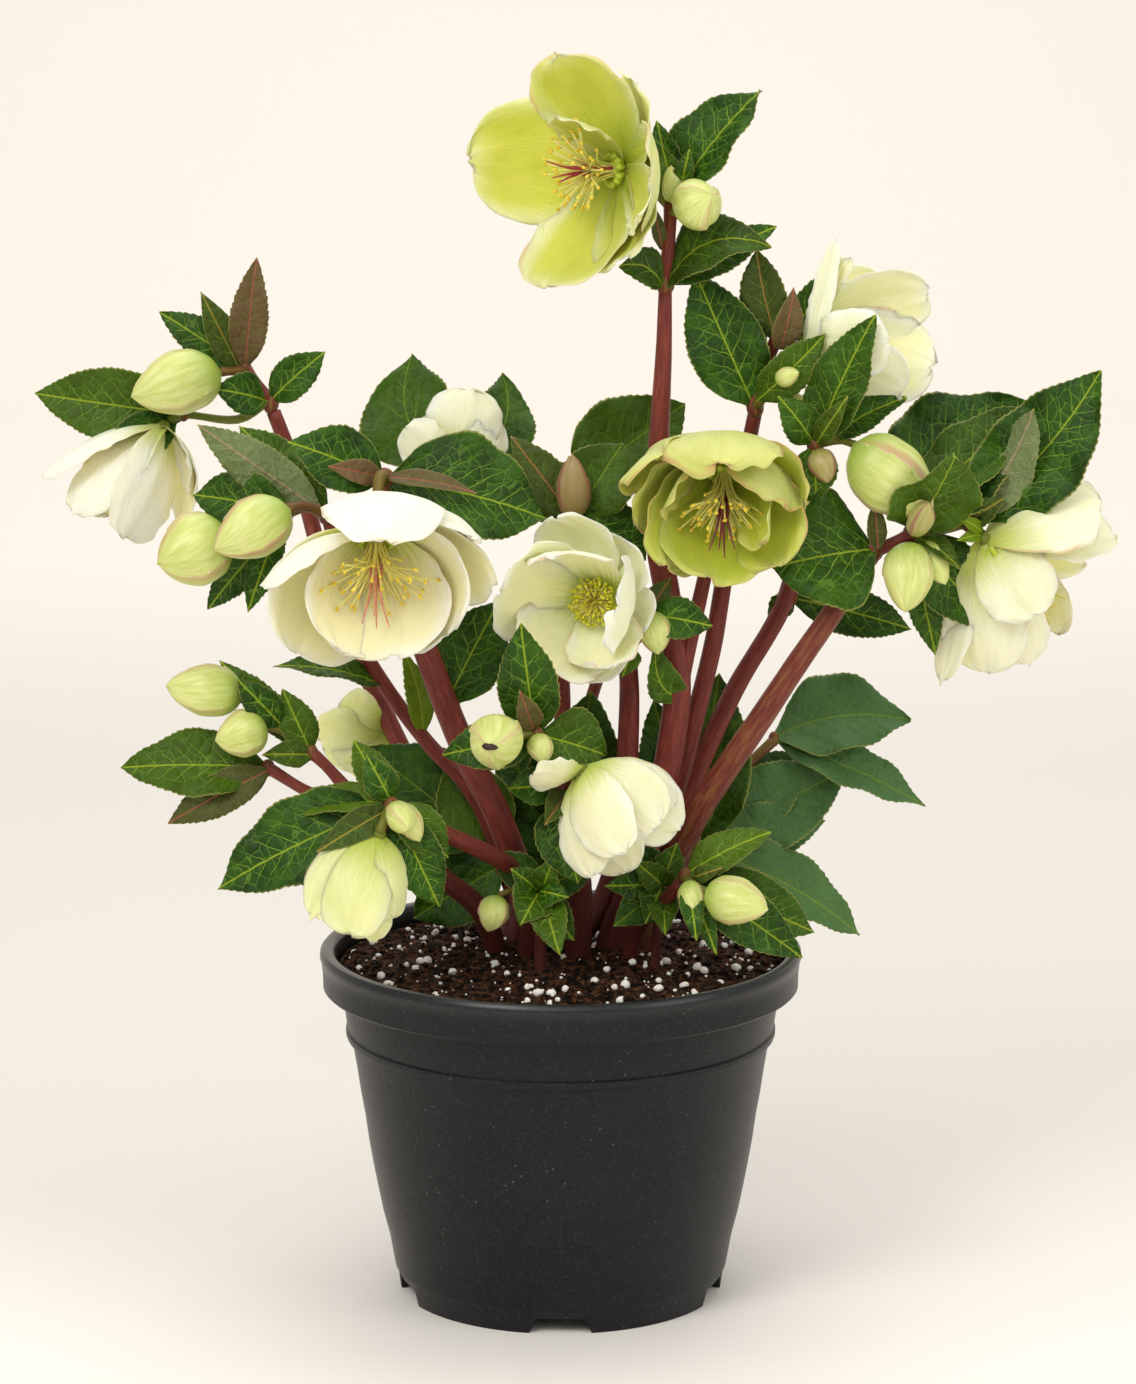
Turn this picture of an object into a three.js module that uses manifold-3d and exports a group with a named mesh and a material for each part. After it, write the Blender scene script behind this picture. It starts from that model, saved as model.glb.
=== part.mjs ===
// A hellebore in a nursery pot: flowering stems, leafy sprays, blooms with their
// stamens, buds, basal leaves, the soil they stand in and the pot.
// Millimetres, +Z up, origin on the table under the middle of the pot.
import * as THREE from 'three';
import { mergeVertices } from 'three/addons/utils/BufferGeometryUtils.js';
import Module from 'manifold-3d';

const wasm = await Module();
wasm.setup();

// ---------------------------------------------------------------- driving dimensions

// pot
const potRimRadius = 85;
const potHeight = 124.5;
const potFootRadius = 57.2;
const potStepRadius = 73.8;
const potLipShelf = 110;
const potInnerFillet = 1;
const potFootStep = 2;
const potInnerLip = 79.5;
const potStepHeight = 92;
const potStepWidth = 3.2;
const potWall = 1.6;
const potFloorRise = 6;
const potFloor = 2.2;
const potSides = 28;
const footNotches = 5;
const footNotchWidth = 20;
const footNotchDepth = 14;
const footNotchHeight = 5.4;
const drainHoleRadius = 5;
const drainHoleCircle = 34;

// soil
const soilEdgeHeight = 118;
const soilMound = 6;
const soilMoundSpread = 38;
const soilGap = 0.3;
const soilBottom = 12;
const soilCrownDepth = 5;
const soilRings = 2;
const soilSides = 16;
const soilRoughness = 0.9;
const perliteCount = 8;
const perliteRadius = 1.7;
const perliteInner = 30;
const perliteOuter = 72;

// plant
const fitGap = 0.35;
const bladeThickness = 0.9;
const sepalThickness = 0.8;
const stemSides = 6;
const branchSides = 4;
const stemBuried = 24;
const stemStep = 32;

// front elevation sheet: across and up are read on it in millimetres, up from the table
const eye = new THREE.Vector3(2.6, -1540, 514);
const sightDown = 0.1916;
const sheetDistance = 1571.5;
const sheetSightHeight = 206;

// colours
const finish = {
  pot: { color: 0x2e2f31, roughness: 0.55, metalness: 0 },
  soil: { color: 0x2a1a12, roughness: 1, metalness: 0 },
  stem: { color: 0x5c2426, roughness: 0.55, metalness: 0 },
  leaf: { color: 0x1f4a1c, roughness: 0.45, metalness: 0 },
  whiteBloom: { color: 0xf3f1da, roughness: 0.6, metalness: 0 },
  limeBloom: { color: 0xdfe39a, roughness: 0.6, metalness: 0 },
  greenBloom: { color: 0xb7c24a, roughness: 0.6, metalness: 0 },
  stamens: { color: 0xd9c13a, roughness: 0.7, metalness: 0 },
  bud: { color: 0xd5dc9a, roughness: 0.5, metalness: 0 },
};

// ---------------------------------------------------------------- places

const sheetForward = new THREE.Vector3(0, Math.cos(sightDown), -Math.sin(sightDown));
const sheetUp = new THREE.Vector3(0, Math.sin(sightDown), Math.cos(sightDown));
const sheetCentre = eye.clone().addScaledVector(sheetForward, sheetDistance);

// the point seen at (across, up) on the sheet that lies `back` mm behind the pot's axis
function place([across, up, back]) {
  const ray = sheetCentre.clone();
  ray.x += across;
  ray.addScaledVector(sheetUp, up - sheetSightHeight);
  ray.sub(eye);
  return eye.clone().addScaledVector(ray, (back - eye.y) / ray.y);
}

// ---------------------------------------------------------------- solids

// the way that a three.js cylinder or sphere stands before it is turned
const upright = new THREE.Vector3(0, 1, 0);

function toManifold(geometry) {
  const bare = geometry.clone();
  bare.deleteAttribute('normal');
  bare.deleteAttribute('uv');
  const merged = mergeVertices(bare, 1e-4);
  return new wasm.Manifold(new wasm.Mesh({
    numProp: 3,
    vertProperties: new Float32Array(merged.attributes.position.array),
    triVerts: new Uint32Array(merged.index.array),
  }));
}

function toGeometry(solid) {
  const mesh = solid.getMesh();
  const geometry = new THREE.BufferGeometry();
  geometry.setAttribute('position', new THREE.BufferAttribute(mesh.vertProperties, 3));
  geometry.setIndex(new THREE.BufferAttribute(mesh.triVerts, 1));
  geometry.computeVertexNormals();
  return geometry;
}

// the largest body of a solid: loose scraps go and sealed hollows are filled
function largestBody(solid) {
  const bodies = solid.decompose();
  return bodies.reduce((best, body) => (body.volume() > best.volume() ? body : best));
}

function join(solids) {
  return solids.reduce((whole, solid) => whole.add(solid));
}

// a closed blade of even thickness over rows of three points, pointed at root and tip
function sheetSolid(rows, root, tip, thickness) {
  const points = [root, ...rows.flat(), tip];
  const tipIndex = points.length - 1;
  const normals = points.map(() => new THREE.Vector3());
  const faces = [
    [0, 2, 1],
    [0, 3, 2],
    [tipIndex, tipIndex - 3, tipIndex - 2],
    [tipIndex, tipIndex - 2, tipIndex - 1],
  ];
  for (let row = 0; row + 1 < rows.length; row += 1) {
    const left = 1 + 3 * row;
    faces.push([left, left + 1, left + 4], [left, left + 4, left + 3]);
    faces.push([left + 1, left + 2, left + 5], [left + 1, left + 5, left + 4]);
  }
  for (const [a, b, c] of faces) {
    const normal = points[b].clone().sub(points[a]).cross(points[c].clone().sub(points[a]));
    for (const corner of [a, b, c]) {
      normals[corner].add(normal);
    }
  }
  const offset = (side) => points.map((point, i) => (
    point.clone().addScaledVector(normals[i].normalize(), side * thickness / 2)));
  const below = points.length;
  const index = faces.flatMap(([a, b, c]) => [a, b, c, below + a, below + c, below + b]);
  const leftEdge = [0, ...rows.map((_, row) => 1 + 3 * row), tipIndex];
  const rightEdge = [tipIndex, ...rows.map((_, row) => 3 + 3 * row).reverse(), 0];
  for (const edge of [leftEdge, rightEdge]) {
    for (let i = 0; i + 1 < edge.length; i += 1) {
      const [a, b] = [edge[i], edge[i + 1]];
      index.push(a, b, below + b, a, below + b, below + a);
    }
  }
  const geometry = new THREE.BufferGeometry();
  const corners = [...offset(1), ...offset(-1)].flatMap((point) => point.toArray());
  geometry.setAttribute('position', new THREE.BufferAttribute(new Float32Array(corners), 3));
  geometry.setIndex(index);
  return toManifold(geometry);
}

// rows between root and tip: station and half width as shares of the blade
const leafOutline = [
  { along: 0.26, half: 0.86 },
  { along: 0.5, half: 1 },
  { along: 0.78, half: 0.58 },
];
const leafletOutline = [
  { along: 0.3, half: 0.95 },
  { along: 0.66, half: 0.8 },
];
const bractOutline = [
  { along: 0.4, half: 1 },
];
const sepalOutline = [
  { along: 0.4, half: 0.86 },
  { along: 0.82, half: 0.9 },
];
const edgeToEdge = [-1, 0, 1];

// blade from base to tip whose upper face turns to `look`; rise bows its middle up, sweep
// bows it sideways, dish lifts its edges, wave ripples them
function blade({ base, tip, wide, look, rise, sweep, dish, wave, twist, layer, outline, thickness }, grow) {
  const root = place(base);
  const end = place(tip);
  const direction = end.clone().sub(root).normalize();
  const length = end.distanceTo(root);
  const face = new THREE.Vector3(...look);
  face.addScaledVector(direction, -face.dot(direction)).normalize().applyAxisAngle(direction, twist);
  const side = direction.clone().cross(face);
  root.addScaledVector(face, layer);
  const rows = outline.map(({ along, half }, row) => {
    const halfWidth = half * wide / 2;
    const ridge = root.clone().addScaledVector(direction, along * length);
    const arch = 4 * along * (1 - along);
    ridge.addScaledVector(face, rise * arch).addScaledVector(side, sweep * arch);
    return edgeToEdge.map((column) => {
      const ripple = wave * Math.sin(row * 2.4 + (column > 0 ? 1 : 3)) * column * column;
      const lift = dish * halfWidth * column * column + ripple;
      return ridge.clone().addScaledVector(side, column * (halfWidth + grow)).addScaledVector(face, lift);
    });
  });
  root.addScaledVector(direction, -2 * grow);
  end.addScaledVector(face, layer).addScaledVector(direction, 2 * grow);
  return sheetSolid(rows, root, end, thickness + 2 * grow);
}

function tube(points, radius, grow, sides = stemSides) {
  const path = points.map((point) => point.clone());
  const start = path[0].clone().sub(path[1]).setLength(grow);
  const end = path.at(-1).clone().sub(path.at(-2)).setLength(grow);
  path[0].add(start);
  path.at(-1).add(end);
  const curve = new THREE.CatmullRomCurve3(path, false, 'centripetal');
  const section = new THREE.Shape();
  for (let side = 0; side < sides; side += 1) {
    const angle = side * 2 * Math.PI / sides;
    const corner = [(radius + grow) * Math.cos(angle), (radius + grow) * Math.sin(angle)];
    if (side === 0) {
      section.moveTo(...corner);
    } else {
      section.lineTo(...corner);
    }
  }
  section.closePath();
  const steps = Math.max(2, Math.round(curve.getLength() / stemStep));
  const geometry = new THREE.ExtrudeGeometry(section, { steps, extrudePath: curve, bevelEnabled: false });
  return toManifold(geometry);
}

function ball(centre, radius, grow) {
  const geometry = new THREE.IcosahedronGeometry(radius + grow);
  geometry.translate(centre.x, centre.y, centre.z);
  return toManifold(geometry);
}

// closed bud: an egg from base to tip with the five sepals standing proud as ribs
const budSides = 10;
const budRings = 4;
const budRib = 0.07;
const smallBudWidth = 13;
const smallBudSides = 5;
const smallBudRings = 4;
function budSolid({ base, tip, wide }, grow) {
  const root = place(base);
  const axis = place(tip).sub(root);
  const length = axis.length();
  axis.normalize();
  const isSmall = wide < smallBudWidth;
  const geometry = isSmall
    ? new THREE.SphereGeometry(1, smallBudSides, smallBudRings)
    : new THREE.SphereGeometry(1, budSides, budRings);
  const position = geometry.attributes.position;
  const turn = new THREE.Quaternion().setFromUnitVectors(upright, axis);
  const point = new THREE.Vector3();
  for (let i = 0; i < position.count; i += 1) {
    point.fromBufferAttribute(position, i);
    const along = (1 + point.y) / 2;
    const round = Math.hypot(point.x, point.z);
    const angle = Math.atan2(point.z, point.x);
    const rib = 1 + budRib * Math.cos(angle * 5);
    const taper = 1.06 - 0.32 * along * along;
    const spread = (wide / 2) * rib * taper * round + (round > 0.01 ? grow : 0);
    point.set(Math.cos(angle) * spread, along * (length + 2 * grow) - grow, Math.sin(angle) * spread);
    point.applyQuaternion(turn).add(root);
    position.setXYZ(i, point.x, point.y, point.z);
  }
  return toManifold(geometry);
}

// ---------------------------------------------------------------- kinds of piece

const towardFront = [0, -1, 0.35];
const largeLeafWidth = 26;
const sepalTwist = 0.25;
const sepalLayer = 1.1;
const bossRadius = 3.6;
const knobSwell = 1.27;

function leaf(base, tip, wide, look = towardFront, rise = 3, sweep = 0) {
  const outline = wide < largeLeafWidth ? leafletOutline : leafOutline;
  const shape = { outline, sweep, twist: 0, layer: 0, thickness: bladeThickness };
  const form = { base, tip, wide, look, rise, dish: 0.28, wave: wide * 0.03, ...shape };
  return (grow) => blade(form, grow);
}

function bract(base, tip, wide, look = towardFront, rise = 1.5) {
  const shape = { outline: bractOutline, sweep: 0, twist: 0, layer: 0, thickness: bladeThickness };
  const form = { base, tip, wide, look, rise, dish: 0.4, wave: 0, ...shape };
  return (grow) => blade(form, grow);
}

function sepal(base, tip, wide, look, twist, belly, layer) {
  const shape = { outline: sepalOutline, sweep: 0, twist, thickness: sepalThickness };
  const form = { base, tip, wide, look, rise: -belly, dish: 0.22, wave: wide * 0.03, ...shape };
  form.layer = layer * sepalLayer;
  return (grow) => blade(form, grow);
}

function bud(base, tip, wide) {
  return (grow) => budSolid({ base, tip, wide }, grow);
}

function branch(radius, ...points) {
  return (grow) => tube(points.map(place), radius, grow, branchSides);
}

function boss(at, radius) {
  return (grow) => ball(place(at), radius, grow);
}

// swollen joint where leaves and branches spring
function knob(at, radius) {
  return (grow) => {
    const geometry = new THREE.OctahedronGeometry(radius * knobSwell + grow);
    geometry.translate(...place(at).toArray());
    return toManifold(geometry);
  };
}

// a stem standing in the soil at foot (x, y) and then led up through sheet points
function stalk(radius, [footX, footY], ...points) {
  const bottom = new THREE.Vector3(footX, footY, soilEdgeHeight - stemBuried);
  const ground = new THREE.Vector3(footX, footY, soilEdgeHeight + soilMound - 2);
  return (grow) => tube([bottom, ground, ...points.map(place)], radius, grow);
}

// stamens round three pistils, fanned about the bloom's axis from its root
const stamenCount = 6;
const pistilCount = 2;
const goldenAngle = 2.39996;
const stamenSeat = 5.6;
const stamenCoreRadius = 3.4;
const filamentRadius = 0.4;
const antherRadius = 0.9;
function filament(start, end, rootRadius, tipRadius, grow) {
  const axis = end.clone().sub(start);
  const long = axis.length() + 2 * grow;
  const geometry = new THREE.CylinderGeometry(tipRadius + grow, rootRadius + grow, long, 3, 1);
  const turn = new THREE.Quaternion().setFromUnitVectors(upright, axis.clone().normalize());
  geometry.applyQuaternion(turn);
  const middle = start.clone().add(end).multiplyScalar(0.5);
  geometry.translate(middle.x, middle.y, middle.z);
  return toManifold(geometry);
}

function stamenFan(root, axis, { long, spread, pistil }) {
  return (grow) => {
    const ahead = new THREE.Vector3(...axis).normalize();
    const centre = place(root).addScaledVector(ahead, stamenSeat);
    const turn = new THREE.Quaternion().setFromUnitVectors(new THREE.Vector3(0, 0, 1), ahead);
    const pieces = [ball(centre, stamenCoreRadius, grow)];
    for (let i = 0; i < stamenCount + pistilCount; i += 1) {
      const isPistil = i < pistilCount;
      const ring = isPistil ? 0.12 : 0.35 + 0.65 * ((i * 7) % stamenCount) / stamenCount;
      const angle = i * (isPistil ? 2 * Math.PI / pistilCount : goldenAngle);
      const lean = spread * ring;
      const reach = isPistil ? pistil : long * (0.8 + 0.2 * Math.cos(i * 1.7));
      const heading = new THREE.Vector3().setFromSphericalCoords(1, lean, angle);
      heading.set(heading.z, heading.x, heading.y).applyQuaternion(turn);
      const start = centre.clone().addScaledVector(heading, stamenCoreRadius / 2);
      const end = centre.clone().addScaledVector(heading, reach);
      const rootRadius = isPistil ? antherRadius : filamentRadius;
      const tipRadius = isPistil ? filamentRadius : antherRadius;
      pieces.push(filament(start, end, rootRadius, tipRadius, grow));
    }
    return join(pieces);
  };
}

// ---------------------------------------------------------------- pot and soil

// outer half section from the foot to the lip: radius at each height
const potOuter = [
  { height: 0, radius: potFootRadius },
  { height: 7.5, radius: 58.2 },
  { height: 8.5, radius: 59 },
  { height: 46.5, radius: 66.8 },
  { height: 91, radius: potStepRadius },
  { height: 94, radius: 75 },
  { height: 115, radius: 77.6 },
  { height: 116, radius: 84 },
  { height: 121.5, radius: potRimRadius },
  { height: potHeight, radius: 83 },
];

function potSolid() {
  const foot = potFootRadius;
  const profile = potOuter.map(({ height, radius }) => [radius, height]);
  const inner = [
    [potInnerLip, potHeight - 0.6],
    [potInnerLip - potStepWidth, potLipShelf],
    [potStepRadius - potWall, potStepHeight],
    [foot - potWall + potInnerFillet, potFloorRise + potFloor],
    [0, potFloorRise + potFloor],
    [0, potFloorRise],
    [foot - potWall - potFootStep, potFloorRise],
    [foot - potWall - potFootStep, 0],
  ];
  profile.push(...inner);
  profile.push(profile[0]);
  const points = profile.map(([radius, height]) => new THREE.Vector2(radius, height));
  const walls = new THREE.LatheGeometry(points, potSides);
  walls.rotateX(Math.PI / 2);
  let pot = toManifold(walls);
  for (let notch = 0; notch < footNotches; notch += 1) {
    const angle = -Math.PI / 2 + notch * 2 * Math.PI / footNotches;
    const cut = new THREE.BoxGeometry(footNotchDepth, footNotchWidth, 2 * footNotchHeight);
    cut.rotateZ(angle);
    cut.translate(foot * Math.cos(angle), foot * Math.sin(angle), 0);
    pot = pot.subtract(toManifold(cut));
    const hole = new THREE.CylinderGeometry(drainHoleRadius, drainHoleRadius, 12, 8);
    hole.rotateX(Math.PI / 2);
    hole.translate(drainHoleCircle * Math.cos(angle), drainHoleCircle * Math.sin(angle), potFloorRise);
    pot = pot.subtract(toManifold(hole));
  }
  return pot;
}

function soilHeight(x, y) {
  const fromAxis = Math.hypot(x, y);
  const mound = soilMound * Math.exp(-((fromAxis / soilMoundSpread) ** 2));
  const clods = Math.sin(x * 0.31 + y * 0.17) * Math.cos(y * 0.29 - x * 0.11);
  return soilEdgeHeight + mound + soilRoughness * clods;
}

function soilSolid() {
  const topInside = potInnerLip - potStepWidth - soilGap;
  const profile = [
    [0, soilBottom],
    [potFootRadius - potWall + potInnerFillet - soilGap, soilBottom],
    [potStepRadius - potWall - 3 * soilGap, potStepHeight],
    [topInside, soilEdgeHeight - soilCrownDepth],
  ];
  for (let ring = 0; ring <= soilRings; ring += 1) {
    profile.push([topInside * (1 - ring / soilRings), soilEdgeHeight]);
  }
  const points = profile.map(([radius, height]) => new THREE.Vector2(radius, height));
  const geometry = new THREE.LatheGeometry(points, soilSides);
  const position = geometry.attributes.position;
  for (let i = 0; i < position.count; i += 1) {
    const isTop = position.getY(i) > soilEdgeHeight - 0.5;
    const x = position.getX(i);
    const y = -position.getZ(i);
    position.setXYZ(i, x, y, isTop ? soilHeight(x, y) : position.getY(i));
  }
  let soil = toManifold(geometry);
  for (let bead = 0; bead < perliteCount; bead += 1) {
    const angle = bead * goldenAngle;
    const radius = perliteInner + (perliteOuter - perliteInner) * Math.sqrt((bead + 0.5) / perliteCount);
    const x = radius * Math.cos(angle);
    const y = radius * Math.sin(angle);
    soil = soil.add(ball(new THREE.Vector3(x, y, soilHeight(x, y) + 0.4), perliteRadius, 0));
  }
  return soil;
}

// ---------------------------------------------------------------- stems, in the order they are cut free

const underside = [0.3, 0.8, -0.4];
const skyward = [-0.2, -0.5, 0.8];

const stems = {
  stem_tall: [
    stalk(4.3, [17, 2], [22, 137, 2], [30, 161, 1], [35, 182, 0], [38, 203, -1]),
    branch(3.1, [38, 202, -1], [38, 211, 1], [35, 238, 4], [32, 256, 6], [31, 275, 8], [32, 298, 7],
      [33.5, 326, 5], [34, 346, 4]),
    branch(2.8, [38, 202, 0], [42, 221, 2], [46, 238, 5], [49, 252, 7], [54, 279, 6], [55, 288, 1.5]),
    leaf([41.5, 203.5, 0], [31, 224, -5], 13, [0.25, -0.9, 0.3], 3, -7),
  ],
  stem_upper_right: [
    stalk(3.2, [17, 15], [25, 133, 13], [32, 154, 11], [40, 179, 10], [46, 203, 10], [51, 224, 11],
      [54.5, 245, 12], [59.5, 273, 16], [63.5, 294, 13], [65.5, 304, 9]),
  ],
  stem_shoulder: [
    stalk(3.3, [9, 27], [27, 135, 31], [36, 154, 34], [47, 182, 35], [58.5, 207, 34], [76, 238, 26],
      [81.5, 266, 13], [86, 289, 4]),
  ],
  stem_right: [
    stalk(4.3, [29, 8], [33, 143, 8], [40, 154, 5], [48, 168, 1], [67, 196, -2], [81, 217, -3],
      [93.5, 235, -2], [103, 250, 0], [106, 254, 1]),
  ],
  stem_left: [
    stalk(4.4, [-8, 6], [-9, 128, 3], [-17, 144, -6], [-25.5, 165, -14], [-34, 181, -18],
      [-43, 202, -22], [-50, 221, -24], [-57, 238, -21], [-62, 259, -14], [-64, 277, -10]),
    leaf([-43, 201, -20], [-24, 238, -8], 25),
  ],
  stem_outer_left: [
    stalk(2.6, [-16, 12], [-18, 136, 15], [-26, 156, 12], [-36, 174, 6], [-49, 188, 4], [-64, 208, 5],
      [-73, 224, 5], [-80, 250, 1], [-84, 266, -3]),
    leaf([-64, 208, 5], [-103, 215, -8], 13, [-0.2, -0.5, 0.8]),
  ],
  stem_middle: [
    stalk(4, [5, 8], [12, 132, 10], [18, 150, 10], [20, 170, 6], [21.5, 203, -1], [21, 217, -6]),
  ],
  stem_centre_back: [
    stalk(2.9, [-3, 19], [-3, 151, 19], [-2, 203, 15], [-2.5, 217, 14], [-1, 252, 9], [2, 264, 4]),
  ],
  stem_front: [
    stalk(4.3, [6, -10], [4, 136, -14], [2, 155, -21], [-1, 168, -27]),
  ],
  stem_lower_left: [
    stalk(3, [-12, -8], [-13, 138, -15], [-20, 145, -24], [-31, 151, -36], [-42, 156, -46],
      [-54, 161.5, -54], [-60, 165, -57]),
  ],
  stem_mid_left: [
    stalk(3.5, [-23, 0], [-31, 130, -4], [-44, 141, -8], [-59, 153, -11], [-72, 165.5, -12]),
  ],
  stem_far_left: [
    stalk(3.3, [-20, 24], [-28, 133, 34], [-40, 152, 48], [-50, 169, 60], [-59, 188, 70], [-69, 209, 80],
      [-83, 242, 87], [-94, 280, 88], [-103, 304, 86]),
  ],
  stem_lower_right: [
    stalk(2.6, [24, -10], [26, 126, -16], [34, 133, -28], [39.5, 139.5, -39]),
  ],
};

// ---------------------------------------------------------------- stamens

const stamens = {
  stamens_tall: stamenFan([18, 389, 6], [-0.85, -0.5, 0], { long: 17, spread: 0.8, pistil: 21 }),
  stamens_lime: stamenFan([55, 289, -2], [-0.05, -0.55, -0.8], { long: 17, spread: 0.7, pistil: 22 }),
  stamens_right: stamenFan([146, 260, 0], [0.7, -0.2, -0.7], { long: 23, spread: 0.5, pistil: 31 }),
  stamens_left: stamenFan([-67, 262, -33], [0, -0.55, -0.83], { long: 18, spread: 0.8, pistil: 23 }),
  stamens_middle: stamenFan([11, 239, -15], [-0.45, -0.89, -0.05], { long: 9, spread: 0.7, pistil: 12 }),
};

// ---------------------------------------------------------------- blooms

// the sepals of one bloom open from its root; each faces along its axis or to its own look
function bloom(root, axis, ...sepals) {
  const parts = sepals.map(([tip, wide, belly, look], i) => (
    sepal(root, tip, wide, look ?? axis, look ? 0 : sepalTwist, belly, i % 3 - 1)));
  return [boss(root, bossRadius), ...parts];
}

const blooms = {
  bloom_tall: bloom([18, 389, 6], [-0.75, -0.65, 0],
    [[-34, 391, 14], 42, 8],
    [[-5, 429, -6], 40, 8],
    [[-5, 346, -6], 44, 9],
    [[27, 384, -32], 38, 7, [-1, -0.25, 0]],
    [[22, 421, -10], 34, 8],
    [[22, 358, -22], 32, 7]),
  bloom_lime: bloom([55, 289, -2], [-0.1, -0.8, -0.55],
    [[58, 287, -38], 52, 13],
    [[20, 283, -16], 38, 7],
    [[30, 253, -18], 36, 8],
    [[52, 244, -22], 44, 8],
    [[75, 252, -20], 36, 7],
    [[83, 273, -15], 36, 7]),
  bloom_upper_right: bloom([83, 328.5, 8], [0.85, 0.35, 0.35],
    [[94, 363.5, 4], 24, 5, [0.9, 0.45, 0]],
    [[109, 349.5, 24], 26, 6, [-0.2, -0.8, -0.3]],
    [[126.5, 346.5, 10], 30, 7, [-0.25, -0.8, -0.5]],
    [[127.5, 320, 16], 32, 7, [-0.3, -0.9, 0.1]],
    [[118.5, 309, 8], 28, 6, [-0.1, 0.8, 0.5]],
    [[122, 321.5, -10], 32, 8, [0.15, 0.95, 0.15]]),
  bloom_right: bloom([146, 259.5, 0], [0.75, -0.2, -0.65],
    [[182, 251.5, 16], 26, 6, [-0.3, -0.9, -0.3]],
    [[192, 261.5, 4], 28, 6, [-0.1, 0.6, -0.8]],
    [[186, 271.5, -4], 30, 7, [0, 0.55, -0.85]],
    [[169.5, 226, 16], 26, 7, [-0.5, -0.8, 0.1]],
    [[130, 210.5, 4], 13, 3, [0.7, 0.6, 0.1]],
    [[147, 213, 6], 32, 8, [0.3, 0.8, 0.3]],
    [[161.5, 234, -22], 30, 10, [0.2, 0.95, -0.15]]),
  bloom_left: bloom([-67, 262, -33], [0, -0.7, -0.7],
    [[-94, 219, -46], 46, 9],
    [[-61, 218, -50], 44, 8],
    [[-42, 226, -50], 44, 9],
    [[-107, 245, -58], 38, 13],
    [[-33, 259, -62], 40, 14],
    [[-65, 260, -74], 50, 17]),
  bloom_middle: bloom([11, 239, -15], [-0.35, -0.93, 0],
    [[-5, 266, -22], 30, 6],
    [[21, 261, -20], 30, 6],
    [[29, 225, -22], 30, 6],
    [[2, 211, -28], 30, 7],
    [[-24, 240, -38], 38, 9],
    [[17, 236, -44], 32, 9, [-1, -0.15, 0]]),
  bloom_front: bloom([5.5, 178, -44], [0.6, -0.4, -0.7],
    [[22.5, 143, -54], 30, 7, [0.1, 0.7, 0.65]],
    [[8.5, 142, -58], 20, 3, [0.75, 0.6, 0.2]],
    [[-11, 175, -52], 15, 2, [0.1, -0.8, 0.5]],
    [[38, 156, -56], 28, 8, [-0.45, 0.8, -0.2]],
    [[19, 151, -68], 28, 8, [0.35, 0.9, 0.15]],
    [[30.5, 158.5, -70], 30, 9, [-0.1, 0.95, -0.2]]),
  bloom_bell: bloom([-66, 156, -68], [-0.12, -0.1, -1],
    [[-76.5, 124.5, -54], 30, 8, [0, -1, 0]],
    [[-88, 128, -66], 24, 9, [0.8, 0.55, 0.1]],
    [[-61.5, 125.5, -74], 28, 12, [-0.75, 0.65, 0]],
    [[-75.5, 121, -88], 34, 13, [0.1, 0.95, 0]]),
  bloom_far_left: bloom([-141.5, 299, 77], [-0.5, -0.2, -0.85],
    [[-183, 292, 70], 27, 5],
    [[-178, 273, 62], 32, 6],
    [[-154, 260, 56], 33, 7],
    [[-137, 263, 74], 30, 7],
    [[-165, 268, 86], 32, 6]),
  bloom_back: bloom([-40, 285, 46], [-0.35, 0.35, 0.8],
    [[-36, 311, 46], 23, 5],
    [[-57, 299, 46], 20, 5],
    [[-24, 301, 48], 18, 5]),
  bloom_low_back: bloom([-63.5, 193, 75], [-0.8, 0.2, -0.2],
    [[-86, 195, 80], 20, 4],
    [[-78, 178, 76], 20, 4],
    [[-78, 202, 86], 20, 4]),
};

// ---------------------------------------------------------------- buds

const buds = {
  bud_tall: [bud([41, 374, -2], [50, 380, -14], 18)],
  bud_shoulder: [bud([100.5, 292, -4], [126, 271.5, -12], 27)],
  bud_right: [bud([120, 258.5, -6], [118, 234.5, -20], 17.5)],
  bud_left: [bud([-97, 270, -22], [-123, 256, -33], 20.5)],
  bud_outer_left: [bud([-118, 260, -14], [-143, 251, -24], 25)],
  bud_front: [bud([-20, 190.5, -46], [-25, 189, -67], 18.5)],
  bud_mid_left_upper: [bud([-113, 205, -14], [-140, 208, -16], 18)],
  bud_mid_left_lower: [bud([-105, 193.5, -18], [-123, 189, -24], 16.5)],
  bud_far_left: [bud([-121, 318, 77], [-152, 309.5, 67], 23)],
  bud_lower_right: [bud([48, 136, -50], [69.5, 130, -61], 16.5)],
};

// ---------------------------------------------------------------- leafy sprays

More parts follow.
